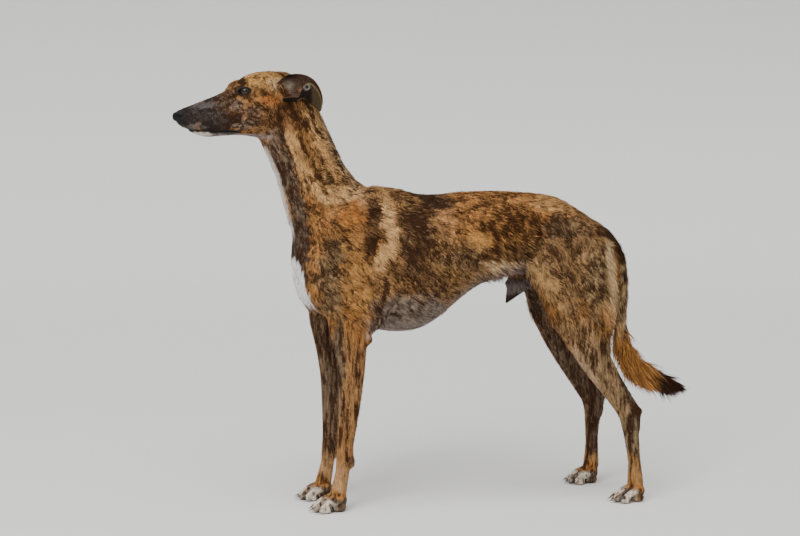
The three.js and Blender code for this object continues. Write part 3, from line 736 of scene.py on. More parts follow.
def make_skin():
    """Coarse nets over the whole dog, then two rounds of finer faces where the detail is."""
    points, quads = surface_nets(*field_grid(*SKIN_BOX, SKIN_STEP))
    mesh = to_mesh("skin", points, quads)
    points = relax(onto_surface(points, 1), edge_pairs(mesh), 2)
    mesh.vertices.foreach_set("co", (points * MM).ravel())
    for chosen in (fine_places, finest_places):
        divide_near(mesh, chosen)
        points, edges = coordinates(mesh), edge_pairs(mesh)
        moving = chosen(points)
        points[moving] = onto_surface(points[moving], 2)
        points[moving] += FINE_SLIDE * (neighbour_mean(points, edges) - points)[moving]
        points[moving] = onto_surface(points[moving], 2)
        mesh.vertices.foreach_set("co", (points * MM).ravel())
    mesh.update()
    turn_outwards(mesh)
    return mesh


def new_object(name, mesh):
    """An object at the origin that shows the mesh."""
    thing = bpy.data.objects.new(name, mesh)
    bpy.context.scene.collection.objects.link(thing)
    return thing


skin_mesh = make_skin()
skin = new_object("skin", skin_mesh)


def unwrap(thing):
    """An unwrap of the skin's own shape, as the map that the coat's patches are placed on."""
    thing.data.uv_layers.new(name="OFBake")
    bpy.context.view_layer.objects.active = thing
    thing.select_set(True)
    bpy.ops.object.mode_set(mode="EDIT")
    bpy.ops.mesh.select_all(action="SELECT")
    bpy.ops.uv.smart_project(angle_limit=1.2, island_margin=0.001)
    bpy.ops.object.mode_set(mode="OBJECT")
    thing.select_set(False)


# Markings


def paint(hexed):
    """A colour written as in a paint chart, as the linear numbers a shader takes."""
    c = np.array([int(hexed[i : i + 2], 16) for i in (1, 3, 5)]) / 255
    return np.where(c <= 0.04045, c / 12.92, ((c + 0.055) / 1.055) ** 2.4)


def wander(p, size, seed):
    """A smooth random number for each point, about -1 to 1: waves of that size in many directions, summed."""
    picks = np.random.default_rng(seed)
    total = np.zeros(len(p))
    for _ in range(WAVES):
        way = unit(picks.normal(size=3)) * 2 * pi / (size * picks.uniform(0.7, 1.5))
        total += np.sin(p @ way + picks.uniform(0, 2 * pi))
    return total / WAVES_SPREAD


WAVES = 7
WAVES_SPREAD = 2.6  # what the sum of that many waves seldom passes
HEAD_MARKS_FINER = 0.8  # how much smaller than on the trunk the marks of the head are
MARKS_LENGTHEN = 420  # below this height the dark marks are long and run down the leg
LEG_STRETCH = 0.72  # by how much of its height they are drawn out
RUST = "#a8733c"
DARK = "#341b08"
# each patch of the coat: x, z, half length, half height, lean, ground colour, share of dark, strength
PATCHES = [
    # trunk
    (-60, 600, 200, 160, 0.0, "#af8253", 0.56, 1.0),
    (120, 660, 110, 90, 0.0, "#c58b50", 0.55, 1.0),
    (-120, 745, 60, 20, 0.0, "#cba16e", 0.35, 0.9),
    (-72, 615, 38, 90, 0.0, "#896a4b", 0.76, 0.85),
    (-22, 694, 32, 26, -0.4, "#5b4c3e", 0.80, 0.85),
    (-5, 655, 26, 30, 0.0, "#bc8857", 0.35, 0.8),
    (73, 603, 26, 28, 0.0, "#cf9a57", 0.20, 0.8),
    (30, 560, 60, 40, 0.3, "#9b7d5a", 0.62, 0.7),
    (-20, 520, 60, 40, 0.0, "#8e6c47", 0.58, 0.7),
    (60, 500, 34, 60, -1.4, "#a87f4d", 0.40, 0.8),
    (150, 640, 60, 26, 0.0, "#ac7842", 0.74, 0.7),
    (218, 607, 9, 42, 0.0, "#413224", 0.95, 0.8),
    (160, 585, 70, 18, 0.0, "#9d764b", 0.70, 0.7),
    (165, 550, 68, 18, 0.0, "#ebcb9d", 0.02, 0.95),
    (-85, 442, 104, 44, 0.0, "#8f7f70", 0.52, 0.95),
    # painted shadow: a thin dark line in the crease between the back of the upper arm and the chest
    (-150, 468, 5, 60, 0.28, "#2a1c12", 0.85, 0.60),
    (-60, 400, 120, 22, 0.0, "#aa9788", 0.30, 0.9),
    # haunch
    (285, 560, 110, 110, 0.0, "#a17d54", 0.57, 0.95),
    (262, 690, 60, 22, 0.0, "#c4955f", 0.38, 0.9),
    (268, 635, 36, 30, 0.0, "#887052", 0.64, 0.8),
    (335, 620, 34, 50, 0.2, "#9f7c56", 0.48, 0.7),
    (350, 500, 30, 70, 0.0, "#98805c", 0.58, 0.8),
    (240, 505, 20, 60, -0.5, "#bf9763", 0.30, 0.75),
    (300, 400, 44, 50, -0.3, "#a5825a", 0.50, 0.8),
    (376, 440, 14, 40, 0.0, "#c49462", 0.15, 0.8),
    (385, 530, 11, 92, -0.05, "#d6b98d", 0.12, 0.85),
    (395, 625, 26, 16, 0.6, "#654d36", 0.80, 0.8),
    # shoulder and breast
    (-235, 610, 78, 110, 0.2, "#aa7744", 0.46, 0.95),
    (-210, 671, 30, 34, 0.3, "#aa6e37", 0.28, 0.9),
    (-240, 715, 44, 22, 0.4, "#d6ae7c", 0.22, 0.8),
    (-255, 530, 40, 80, 0.1, "#907957", 0.60, 0.8),
    (-205, 520, 38, 90, 0.0, "#b8854b", 0.36, 0.85),
    (-166, 672, 18, 48, -0.1, "#6b4d36", 0.72, 0.8),
    (-176, 600, 16, 34, 0.0, "#5f4b34", 0.78, 0.7),
    (-132, 650, 18, 66, -0.18, "#d5aa75", 0.26, 0.78),
    (-148, 574, 15, 30, 0.25, "#cfa672", 0.12, 0.75),
    (-330, 600, 26, 80, 0.0, "#5f5346", 0.64, 0.95),
    (-318, 452, 26, 26, 0.0, "#74685d", 0.50, 0.7),
    # neck
    (-290, 820, 90, 110, -0.45, "#d4a36a", 0.48, 0.95),
    (-235, 800, 22, 90, -0.5, "#c3a076", 0.56, 0.8),
    (-320, 860, 16, 60, -0.4, "#926233", 0.71, 0.8),
    (-300, 800, 14, 60, -0.35, "#a37340", 0.66, 0.75),
    (-352, 760, 22, 110, -0.3, "#786856", 0.60, 0.92),
    (-384, 830, 26, 34, 0.0, "#907560", 0.55, 0.8),
    # head
    (-395, 930, 60, 62, 0.0, "#a87946", 0.49, 1.0),
    (-405, 968, 44, 18, 0.0, "#c39456", 0.36, 1.0),
    (-378, 958, 17, 13, 0.0, "#c9a97e", 0.30, 0.65),
    (-386, 921, 26, 12, 0.0, "#ac6932", 0.40, 0.9),
    (-389, 886, 26, 26, 0.0, "#926941", 0.55, 0.9),
    (-350, 890, 26, 40, 0.0, "#895e37", 0.61, 0.8),
    (-425, 886, 18, 22, 0.0, "#705c4d", 0.66, 0.8),
    (-449, 866, 22, 11, 0.0, "#9c8b7b", 0.55, 0.8),
    (-465, 908, 22, 13, 0.0, "#87786c", 0.50, 0.8),
    (-445, 895, 18, 9, 0.0, "#5e4b3c", 0.63, 0.7),
    (-492, 922, 32, 20, 0.4, "#66503f", 0.62, 0.95),
    (-462, 948, 14, 12, 0.5, "#7e6046", 0.49, 0.8),
    (-557, 890, 62, 36, 0.0, "#453b38", 0.55, 1.0),
    (-502, 874, 52, 28, 0.0, "#3f3630", 0.60, 1.0),
    # painted sheen: a paler grey band along the upper side of the muzzle
    (-530, 908, 34, 8, 0.35, "#5c5553", 0.32, 0.8),
    (-552, 862, 24, 7, 0.0, "#6d645e", 0.38, 0.7),
    (-500, 888, 30, 8, 0.0, "#574b44", 0.50, 0.7),
    (-460, 842, 70, 6, 0.0, "#90898e", 0.32, 0.8),
    (-547, 845, 30, 6, 0.0, "#d6cebf", -0.11, 0.95),
    (-449, 958, 7, 12, 0.2, "#20150f", 0.85, 0.85),
    # legs
    (-226, 400, 46, 60, 0.0, "#a6723c", 0.42, 0.9),
    (-225, 250, 60, 130, 0.0, "#a07449", 0.40, 1.0),
    (-246, 335, 14, 125, 0.0, "#6a5c4a", 0.60, 0.85),
    (-236, 150, 60, 40, 0.0, "#9b6e42", 0.40, 0.9),
    (-214, 118, 9, 10, 0.0, "#4a3b2c", 0.75, 0.7),
    (-240, 80, 40, 34, 0.0, "#b0875c", 0.28, 1.0),
    (380, 290, 90, 90, -0.6, "#927553", 0.40, 1.0),
    (330, 300, 10, 80, -0.6, "#ba9d7d", 0.09, 0.6),
    (420, 270, 12, 70, -0.35, "#483b31", 0.64, 0.8),
    (440, 150, 60, 70, 0.0, "#887153", 0.46, 1.0),
    (452, 205, 12, 22, 0.0, "#312820", 0.78, 0.8),
    (430, 180, 10, 30, 0.0, "#483b32", 0.74, 0.7),
    (440, 80, 60, 32, 0.0, "#a47a4b", 0.37, 1.0),
    # feet
    (-270, 16, 60, 16, 0.0, "#7b654e", 0.50, 1.0),
    (400, 16, 80, 16, 0.0, "#7b6248", 0.55, 1.0),
]


def patch_weight(p, x, z, long, high, lean, strength, ragged=0.22):
    """How much of a patch a point has: an ellipse in side view with a ragged, soft edge."""
    dz = p[:, 2] - z
    reach = np.sqrt(((p[:, 0] - x - lean * dz) / long) ** 2 + (dz / high) ** 2)
    rough = ragged * wander(p, max(min(long, high) * 0.9, 9), int(abs(x) + abs(z)))
    return strength * (1 - ramp(0.62, 1.35, reach + rough))


def tail_part(p):
    """True on the tail, clear of the thighs."""
    x, y, z = p.T
    return (np.abs(y) < 26) & between(z, 228, 640) & (x > 400) & ((x > 412) | (z > 560))


def markings(p, n):
    """The coat's ground colour, its dark colour, the share of dark, and where the skin is bare leather."""
    x, y, z = p.T
    side = np.abs(y)
    inner = -np.sign(y) * n[:, 1]
    light = np.tile(paint(RUST), (len(p), 1))
    dark = np.tile(paint(DARK), (len(p), 1))
    share = np.full(len(p), 0.5)

    def lay(weight, colour, part):
        nonlocal light, share
        light = light + weight[:, None] * (paint(colour) - light)
        share = share + weight * (part - share)

    on_tail = tail_part(p)
    for *place, colour, part, strength in PATCHES:
        lay(patch_weight(p, *place, strength) * ~on_tail, colour, part)

    # finer mottle on the head and long dark streaks on neck and legs
    on_head = ramp(-370, -400, x) * ramp(800, 840, z)
    share += on_head * (0.10 * wander(p, 14, 21) + 0.07 * wander(p, 6, 22))
    stretched = p * [1, 1, 0.22]
    on_legs = ramp(430, 330, z) * ~on_tail * ramp(45, 70, z)
    share += on_legs * (0.17 * wander(stretched, 12, 23) + 0.10 * wander(stretched, 6, 24))
    on_neck = ramp(-180, -240, x) * ramp(690, 740, z) * (1 - on_head)
    lean_in = np.stack([x + 0.42 * z, y, 0.14 * z], 1)
    share += on_neck * (0.18 * wander(lean_in, 22, 25) + 0.12 * wander(lean_in, 9, 26))
    light = light * (0.87 + 0.13 * (1 - on_neck) + 0.16 * on_neck * wander(lean_in, 14, 27))[:, None]
    on_muzzle = on_head * ramp(-475, -520, x)
    dark = dark + on_muzzle[:, None] * (paint("#241a15") - dark)

    # the belly, painted shade on the insides of the legs and on the far foreleg, the breast's front and the
    # white patch on it
    under = ramp(-0.35, -0.85, n[:, 2]) * ramp(392, 408, z) * (x > -300) * (x < 260)
    lay(under * ramp(-240, -120, x), "#8a7c71", 0.25)
    lay(under * ramp(100, 150, x), "#8d7068", 0.05)
    # painted shade: the sides of the hind legs and forelegs that face the other leg are darkened
    hind_inner_shade = ramp(0.0, 0.5, inner) * ramp(560, 500, z) * (x > 200) * ramp(60, 90, z)
    lay(0.9 * hind_inner_shade * ~on_tail, "#6d5a47", 0.62)
    fore_inner_shade = ramp(0.0, 0.5, inner) * ramp(470, 420, z) * (x < -120)
    lay(0.8 * (fore_inner_shade * ramp(90, 130, z)), "#75604c", 0.60)
    # painted shade: the far (right) foreleg is darkened all round
    far_foreleg_shade = (y > 20) & (z < 430) & (x < -120)
    lay(0.45 * far_foreleg_shade * ramp(140, 200, z), "#75604a", 0.55)
    front = ramp(-0.35, -0.8, n[:, 0]) * (x > -400) * (x < -240)
    front = front * ramp(600, 650, z) * ramp(26, 10, side)
    lay(front * ramp(835, 800, z), "#d9d0c4", 0.0)
    patch = np.sqrt((y / 62) ** 2 + ((z - 506 + 0.25 * (x + 300)) / 54) ** 2) + 0.10 * wander(p, 22, 5)
    lay(ramp(1.1, 0.9, patch) * ramp(0.45, 0.1, n[:, 0]) * (x < -255), "#ece8e4", -0.6)

    # the tail: dark and mottled above, orange in the brush, black at the tip
    lay(on_tail * 1.0, "#c6a578", 0.60)
    share += on_tail * 0.35 * wander(p, 20, 28)
    lay(on_tail * ramp(535, 575, z), "#5d452d", 0.8)
    lay(on_tail * ramp(425, 375, z), "#ae7840", 0.30)
    lay(on_tail * ramp(492, 532, x), "#2b211d", 0.8)

    # the feet: paler toes in front, with painted shade in the lines between them
    toes = ramp(36, 26, z) * ramp(-0.8, 0.6, wander(p, 16, 31) + 0.6)
    toe_gap_shade = np.zeros(len(p))
    fore_part = np.zeros(len(p))
    for foot_x, foot_y, s in PAWS:
        beside = np.abs(y - foot_y) < 40
        at_foot = (np.abs(x - foot_x) < 80) & beside
        fore_part = np.maximum(fore_part, at_foot * ramp(foot_x + 14, foot_x - 8, x))
        ahead = (np.abs(x - foot_x + 25) < 45) & beside
        across = s * (y - foot_y)
        for gap in GAPS_BETWEEN_TOES:
            toe_gap_shade = np.maximum(toe_gap_shade, ahead * bell(across - gap, 1.7) * (x < foot_x + 4))
    lay(0.9 * toes * (x < 440), "#6d5b48", 0.55)
    lay(0.92 * toes * fore_part, "#dccfbd", 0.12)
    # painted shade in the gaps between the toes
    lay(0.75 * toe_gap_shade * ramp(36, 26, z), "#5f4a39", 0.6)

    # bare leather: the nose, the rims of the lips and lids, the sheath's tip
    nose = ramp(-573, -578, x + 0.3 * (z - 880)) * ramp(861, 867, z)
    lay(ramp(-552, -572, x) * ramp(862, 872, z), "#2e2826", 0.6)
    lips = bell(z - MOUTH(x) + 0.8, 2.6) * (x < -450) * (x > -578)
    corner = bell(z - 849.5, 4.2, x + 478, 26) * (n[:, 2] < 0.3)
    rims = np.zeros(len(p))
    for middle, way, fissure, upward in EYES:
        v = p - middle
        u, w, out = v @ fissure, v @ upward - OPENING_RISE, v @ way
        reach = np.sqrt((u / 15.5) ** 2 + (w / 9.2) ** 2)
        rims = np.maximum(rims, ramp(1.15, 0.9, reach) * (out > 0))
        trail = bell(w + 1.0 + 0.22 * u, 2.6) * ramp(9, 13, u) * ramp(44, 30, u)
        lay(0.9 * trail * (out > -14), "#2a1c13", 1.0)
        shadow = bell(w + 2, 13, u + 3, 19) * (out > -8)
        lay(0.7 * shadow, "#5a4230", 0.7)
    purse = between(x, 150, 250) & (side < 24) & (z < 512 + 0.1 * (x - 150))
    lay(1.0 * purse, "#5b504b", 0.3)
    lay(purse * ramp(482, 470, z), "#2a2422", 0.4)
    bare = nose + 0.95 * lips + 0.9 * corner + rims + 0.6 * purse * ramp(478, 468, z)
    pads = ramp(3.0, 1.4, z)
    return light, dark, share, np.clip(bare + pads, 0, 1)


def vertex_normals(mesh):
    """The way each vertex faces."""
    out = np.empty(len(mesh.vertices) * 3)
    mesh.vertices.foreach_get("normal", out)
    return out.reshape(-1, 3)


def give(mesh, name, values):
    """Stores one number, or three, for each vertex."""
    values = np.asarray(values, np.float32)
    if values.ndim == 1:
        mesh.attributes.new(name, "FLOAT", "POINT").data.foreach_set("value", values)
    else:
        mesh.attributes.new(name, "FLOAT_VECTOR", "POINT").data.foreach_set("vector", values.ravel())


def read(mesh, name):
    """The three numbers stored for each vertex."""
    out = np.empty(len(mesh.vertices) * 3, np.float32)
    mesh.attributes[name].data.foreach_get("vector", out)
    return out.reshape(-1, 3).astype(float)


def give_markings(mesh, roots, marks, copies, tip, shade, jitter):
    """Stores what the coat's shader reads: the root, the marking there, and the place along the tuft."""
    light, dark, share, bare = marks
    share = share + jitter
    fine = HEAD_MARKS_FINER * ramp(-360, -400, roots[:, 0]) * ramp(790, 840, roots[:, 2])
    drawn_out = roots + fine[:, None] * (roots - [-400, 0, 900])
    down_the_leg = np.maximum(MARKS_LENGTHEN - roots[:, 2], 0)
    drawn_out[:, 2] += LEG_STRETCH * np.where(tail_part(roots), 0, down_the_leg)
    names = ("root", "light", "dark", "share", "bare", "shade")
    for name, values in zip(names, (drawn_out * MM, light, dark, share, bare, shade)):
        give(mesh, name, np.repeat(values, copies, axis=0))
    give(mesh, "tip", tip)


# Materials


class Shader:
    """A material's nodes, each made by one call and joined by its inputs' names."""

    def __init__(self, name):
        self.material = bpy.data.materials.new(name)
        self.material.use_nodes = True
        self.tree = self.material.node_tree
        self.main = self.tree.nodes["Principled BSDF"]

    def add(self, kind, inputs=(), **settings):
        """One node of the kind, with its settings and inputs."""
        made = self.tree.nodes.new(kind)
        for key, value in settings.items():
            setattr(made, key, value)
        self.fill(made, inputs)
        return made

    def fill(self, made, inputs):
        """Each input gets a link or a value."""
        for key, value in dict(inputs).items():
            if isinstance(value, bpy.types.NodeSocket):
                self.tree.links.new(value, made.inputs[key])
            else:
                made.inputs[key].default_value = value

    def stored(self, name, kind="Fac"):
        """What the mesh stores under the name: a number, or with kind Vector three."""
        return self.add("ShaderNodeAttribute", attribute_name=name).outputs[kind]

    def math(self, operation, a, b):
        """The operation on two numbers."""
        return self.add("ShaderNodeMath", {0: a, 1: b}, operation=operation).outputs[0]

    def noise(self, vector, scale, detail, rough, warp=0.0):
        """Cloudy noise from 0 to 1, finer for a higher scale."""
        inputs = {"Scale": scale, "Detail": detail, "Roughness": rough, "Distortion": warp}
        return self.add("ShaderNodeTexNoise", {"Vector": vector, **inputs}).outputs["Fac"]

    def stretch(self, vector, scale, turn=(0, 0, 0)):
        """The place turned and multiplied, so that what is drawn on it runs long or fine."""
        made = self.add("ShaderNodeMapping", {"Vector": vector, "Scale": scale, "Rotation": turn})
        return made.outputs["Vector"]

    def band(self, value, low, high, first=0.0, last=1.0):
        """First below low and last above high, with a smooth S between."""
        made = self.add(
            "ShaderNodeMapRange",
            {"Value": value, "From Min": low, "From Max": high, "To Min": first, "To Max": last},
            interpolation_type="SMOOTHSTEP",
        )
        return made.outputs["Result"]

    def blend(self, share, a, b, kind="MIX"):
        """Colour a gone over to b by the share; 0, 6 and 7 are the mix node's inputs for colours."""
        made = self.add("ShaderNodeMix", data_type="RGBA", blend_type=kind)
        self.fill(made, {0: share, 6: a, 7: b})
        return made.outputs[2]

    def grey(self, value):
        """The number as a colour."""
        return self.add("ShaderNodeCombineColor", {0: value, 1: value, 2: value}).outputs[0]


BLOTCHES = 62  # how fine the marks are: higher is finer
SPECKS = 170
STREAKS = 120
SHARE_COUNTS = 0.36  # how much a patch's share of dark moves the edge of the marks
EDGE = 0.43, 0.58  # from ground colour to dark
DIMMEST = 0.66  # what a tuft's own shade makes of its colour
BRIGHTEST = 1.42


def coat_colour(s):
    """Ground colour broken by dark mottle and streaks, lighter to the tips, each tuft of its own shade."""
    root = s.stored("root", "Vector")
    blotch = s.noise(s.stretch(root, (1, 1, 0.7), (0, 0.3, 0)), BLOTCHES, 4, 0.62, 0.7)
    speck = s.noise(s.stretch(root, (1.1, 1, 0.55)), SPECKS, 3, 0.6, 0.4)
    streak = s.noise(s.stretch(root, (3.0, 3.0, 0.5), (0, 0.35, 0)), STREAKS, 3, 0.65, 0.5)
    mottle = s.math("ADD", s.math("MULTIPLY", blotch, 0.55), s.math("MULTIPLY", speck, 0.45))
    lean = s.math("MULTIPLY", s.math("SUBTRACT", s.stored("share"), 0.5), SHARE_COUNTS)
    mask = s.band(s.math("ADD", mottle, lean), *EDGE)
    base = s.blend(s.math("MULTIPLY", mask, 0.95), s.stored("light", "Vector"), s.stored("dark", "Vector"))
    value = s.band(streak, 0.32, 0.68, 0.66, 1.36)
    value = s.math("MULTIPLY", value, s.band(s.stored("shade"), 0.0, 1.0, DIMMEST, BRIGHTEST))
    value = s.math("MULTIPLY", value, s.band(s.stored("tip"), 0.0, 1.0, 0.78, 1.3))
    return s.blend(1.0, base, s.grey(value), "MULTIPLY")


def leather(s, colour):
    """The coat's colour, gone over to dark wet skin where the surface is bare."""
    bare = s.stored("bare")
    return s.blend(bare, colour, (0.012, 0.0105, 0.0105, 1)), s.band(bare, 0.3, 0.9, 0.72, 0.38)


def make_coat_material(name, on_skin):
    """The coat's colour; on the skin also bare leather and a fine grain."""
    s = Shader(name)
    colour = coat_colour(s)
    if on_skin:
        colour, rough = leather(s, colour)
        grain = s.noise(s.stretch(s.stored("root", "Vector"), (2.6, 2.6, 0.6), (0, 0.35, 0)), 520, 2, 0.6)
        pebble = s.noise(s.stored("root", "Vector"), 1500, 1, 0.5)
        height = s.math("ADD", grain, s.math("MULTIPLY", pebble, s.stored("bare")))
        bump = s.add("ShaderNodeBump", {"Height": height, "Strength": 0.55, "Distance": 0.0009})
        s.fill(s.main, {"Roughness": rough, "Normal": bump.outputs["Normal"]})
    else:
        s.fill(s.main, {"Roughness": 0.66})
    s.fill(s.main, {"Base Color": colour, "Specular IOR Level": 0.13})
    return s.material


SKIN_SHADE = 0.4  # the skin under the coat is somewhat darker than the tufts
skin_paint = make_coat_material("skin_and_nap", True)
tuft_paint = make_coat_material("tufts", False)
unwrap(skin)
points = coordinates(skin_mesh)
normals = vertex_normals(skin_mesh)
level = np.full(len(points), SKIN_SHADE)
give_markings(skin_mesh, points, markings(points, normals), 1, level, level, 0)
skin_mesh.materials.append(skin_paint)
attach(skin, "root")
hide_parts(*[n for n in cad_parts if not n.startswith(("claw", "eye", "ear"))])

# Eyes, claws and ears


def add_piece(name, mesh, material):
    """A finished piece on the one body, with its material."""
    mesh.materials.append(material)
    thing = new_object(name, mesh)
    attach(thing, "root")
    return thing


def sheet_mesh(name, layers):
    """A closed sheet from its outer and inner grids of points, joined round the rim."""
    front, back = layers
    rows, columns = front.shape[:2]
    points = np.concatenate([front.reshape(-1, 3), back.reshape(-1, 3)])
    i = np.arange(rows * columns).reshape(rows, columns)
    j = i + rows * columns
    quads = [np.stack([i[:-1, :-1], i[:-1, 1:], i[1:, 1:], i[1:, :-1]], -1).reshape(-1, 4)]
    quads.append(np.stack([j[:-1, :-1], j[1:, :-1], j[1:, 1:], j[:-1, 1:]], -1).reshape(-1, 4))
    rims = [(i[0], j[0]), (j[-1], i[-1]), (j[:, 0], i[:, 0]), (i[:, -1], j[:, -1])]
    for near, far in rims:
        quads.append(np.stack([near[:-1], far[:-1], far[1:], near[1:]], -1))
    mesh = to_mesh(name, points, np.concatenate(quads))
    turn_outwards(mesh)
    return mesh


CORNEA = 0.5  # how far the front of an eyeball stands out past its round
CORNEA_REACH = 0.42  # the angle from the axis at which it has almost gone


def ball_mesh(name, middle, way, radius, rings=40, sides=48):
    """A ball with its pole on the way: a ring at each angle a from it, and the cornea's small bulge."""
    a = np.linspace(0, pi, rings + 1)[1:-1, None]
    t = np.arange(sides)[None] * 2 * pi / sides
    one = unit(np.cross(way, [0, 0, 1.0]))
    two = np.cross(way, one)
    bulge = radius + CORNEA * np.exp(-((a / CORNEA_REACH) ** 4))
    ring = bulge[..., None] * (
        np.cos(a)[..., None] * way
        + (np.sin(a) * np.cos(t))[..., None] * one
        + (np.sin(a) * np.sin(t))[..., None] * two
    )
    points = np.concatenate([ring.reshape(-1, 3), [way * (radius + CORNEA), -way * radius]]) + middle
    i = np.arange((rings - 1) * sides).reshape(rings - 1, sides)
    turned = np.roll(i, -1, 1)
    faces = np.stack([i[:-1], i[1:], turned[1:], turned[:-1]], -1).reshape(-1, 4).tolist()
    front, back = len(points) - 2, len(points) - 1
    faces += [[front, a, b] for a, b in zip(i[0], turned[0])]
    faces += [[back, b, a] for a, b in zip(i[-1], turned[-1])]
    mesh = to_mesh(name, points, faces)
    turn_outwards(mesh)
    give(mesh, "off_axis", np.arccos(np.clip(unit(points - middle) @ way, -1, 1)))
    return mesh


def make_eye_material():
    """Pupil to 0.21, brown iris with fine rays, dark ring from 0.62 and brown white from 0.75 radians."""
    s = Shader("eye")
    angle = s.stored("off_axis")
    rays = s.noise(s.add("ShaderNodeTexCoord").outputs["Object"], 900, 3, 0.6)
    iris = s.blend(rays, (0.014, 0.008, 0.004, 1), (0.050, 0.027, 0.011, 1))
    iris = s.blend(s.band(angle, 0.56, 0.68), iris, (0.006, 0.004, 0.003, 1))
    iris = s.blend(s.band(angle, 0.19, 0.23), (0.001, 0.001, 0.001, 1), iris)
    s.fill(s.main, {"Base Color": s.blend(s.band(angle, 0.70, 0.80), iris, (0.03, 0.022, 0.018, 1))})
    s.fill(s.main, {"Roughness": 0.07, "Specular IOR Level": 0.35})
    return s.material


eye_paint = make_eye_material()
for side_name, (middle, way, _, _) in zip(("left", "right"), EYES):
    name = f"eyeball_{side_name}"
    eye = add_piece(name, ball_mesh(name, middle, way, EYE_RADIUS), eye_paint)
    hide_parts(f"eye_{side_name}")


def make_claw_material():
    """Dark horn with paler clouds."""
    s = Shader("claw")
    horn = s.noise(s.add("ShaderNodeTexCoord").outputs["Object"], 260, 2, 0.5)
    colour = s.blend(horn, (0.010, 0.008, 0.007, 1), (0.060, 0.048, 0.038, 1))
    s.fill(s.main, {"Base Color": colour, "Roughness": 0.34})
    return s.material


CLAW_LENGTH = 21
CLAW_RADIUS = 4.3
CLAW_FLAT = 0.72  # its width as a share of its depth
CLAW_RINGS = 11
CLAW_SIDES = 12


def claw_points(x, y, turn, out, reach, spread):
    """A hooked claw in rings round a path. With t from 0 at the toe to 1 at the blunt tip,

    height = 15.5 - 2.5 t - 8.5 t^2.2, and the radius shrinks as the root of 1 - 0.92 t^2.6.
    """
    t = np.linspace(0, 1, CLAW_RINGS)[:, None, None]
    a = np.arange(CLAW_SIDES)[None, :, None] * 2 * pi / CLAW_SIDES
    height = 15.5 - 2.5 * t - 8.5 * t**2.2
    across = out + (1 + 0.25 * t) * spread
    radius = CLAW_RADIUS * (1 - 0.92 * t**2.6) ** 0.5
    fall = -2.5 - 18.7 * t**1.2
    size = np.sqrt(CLAW_LENGTH**2 + fall**2)
    px = x - (30 + CLAW_LENGTH * t) - reach - radius * np.sin(a) * fall / size
    py = y + turn * across + CLAW_FLAT * radius * np.cos(a)
    pz = height + radius * np.sin(a) * CLAW_LENGTH / size
    return np.concatenate([px, py, np.maximum(pz, 0.8)], -1)


def claws_shape():
    """All sixteen claws as tubes with closed ends."""
    rings = np.array([claw_points(*place, *toe) for place in PAWS for toe in TOES])
    i = np.arange(rings[..., 0].size).reshape(rings.shape[:3])
    turned = np.roll(i, -1, 2)
    walls = np.stack([i[:, :-1], i[:, 1:], turned[:, 1:], turned[:, :-1]], -1).reshape(-1, 4)
    ends = i[:, 0].tolist() + i[:, -1, ::-1].tolist()
    mesh = to_mesh("claws", rings.reshape(-1, 3), walls.tolist() + ends)
    turn_outwards(mesh)
    return mesh


claws = add_piece("claws", claws_shape(), make_claw_material())
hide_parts(*[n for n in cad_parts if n.startswith("claw")])

EAR_CURL = (311, 949)  # how far ahead of the middle, and how high, the ring of its curl lies
EAR_PATH = [
    # place along the ear, x, y, z, half height, half depth
    [0, -366, 43, 937, 22, 10],
    [0.25, -343, 52, 946, 30, 13],
    [0.5, -318, 56, 948, 28, 12],
    [0.7, -300, 57, 938, 22, 10],
    [0.87, -286, 53, 917, 14, 7],
    [1, -279.5, 50, 897, 3, 2.5],
]


def ear_layers(turn, thickness=2.2, rows=72, columns=64):
    """An ear folded back: a trough along the path, an arc whose upper edge curls over to the outside.

    Point = path - cos(bend) * depth * out + sin(bend) * height * up, bend from the lower to the upper edge.
    The inner layer is the same with less depth and height, and a crease runs where v is 0.6.
    """
    u = np.linspace(0, 1, rows)
    x, y, z, tall, flat = (curve_through(np.array(EAR_PATH)[:, [0, i]])(u) for i in range(1, 6))
    path = np.stack([x, turn * y, z], 1)
    along = unit(np.gradient(path, axis=0))
    out = unit(np.array([0, turn, 0.0]) - turn * along[:, 1:2] * along)
    up = np.cross(out, along) * turn
    v = np.linspace(0, 1, columns)
    # the flap's edges wave a little, and the flap lies flatter towards the tip
    low = -1.65 + 0.25 * np.sin(5.2 * u)
    high = 2.35 + 1.45 * ramp(0.36, 0.62, u) + 0.12 * np.sin(9 * u + 0.5)
    bend = low[:, None] + (high - low)[:, None] * v[None]
    crease = 1 - 0.16 * bell(v[None] - 0.60, 0.05) * bell(u[:, None] - 0.45, 0.3)
    layers = []
    for inset in (0.0, thickness):
        deep = np.maximum(flat - inset, 0.5)[:, None, None]
        high_half = np.maximum(tall - inset, 0.6)[:, None, None]
        shape = -np.cos(bend)[..., None] * deep * out[:, None] * crease[..., None]
        shape = shape + np.sin(bend)[..., None] * high_half * up[:, None]
        layers.append(path[:, None] + shape)
    return layers, along, bend


def make_ear_material():
    """The two colours stored for each place, mixed by a fine grain that also stands in relief."""
    s = Shader("ear")
    grain = s.noise(s.stretch(s.stored("root", "Vector"), (1, 3, 1.5)), 420, 3, 0.6)
    base = s.blend(grain, s.stored("dark", "Vector"), s.stored("light", "Vector"))
    bump = s.add("ShaderNodeBump", {"Height": grain, "Strength": 0.5, "Distance": 0.0006})
    s.fill(s.main, {"Base Color": base, "Roughness": 0.7, "Specular IOR Level": 0.12})
    s.fill(s.main, {"Normal": bump.outputs["Normal"]})
    return s.material


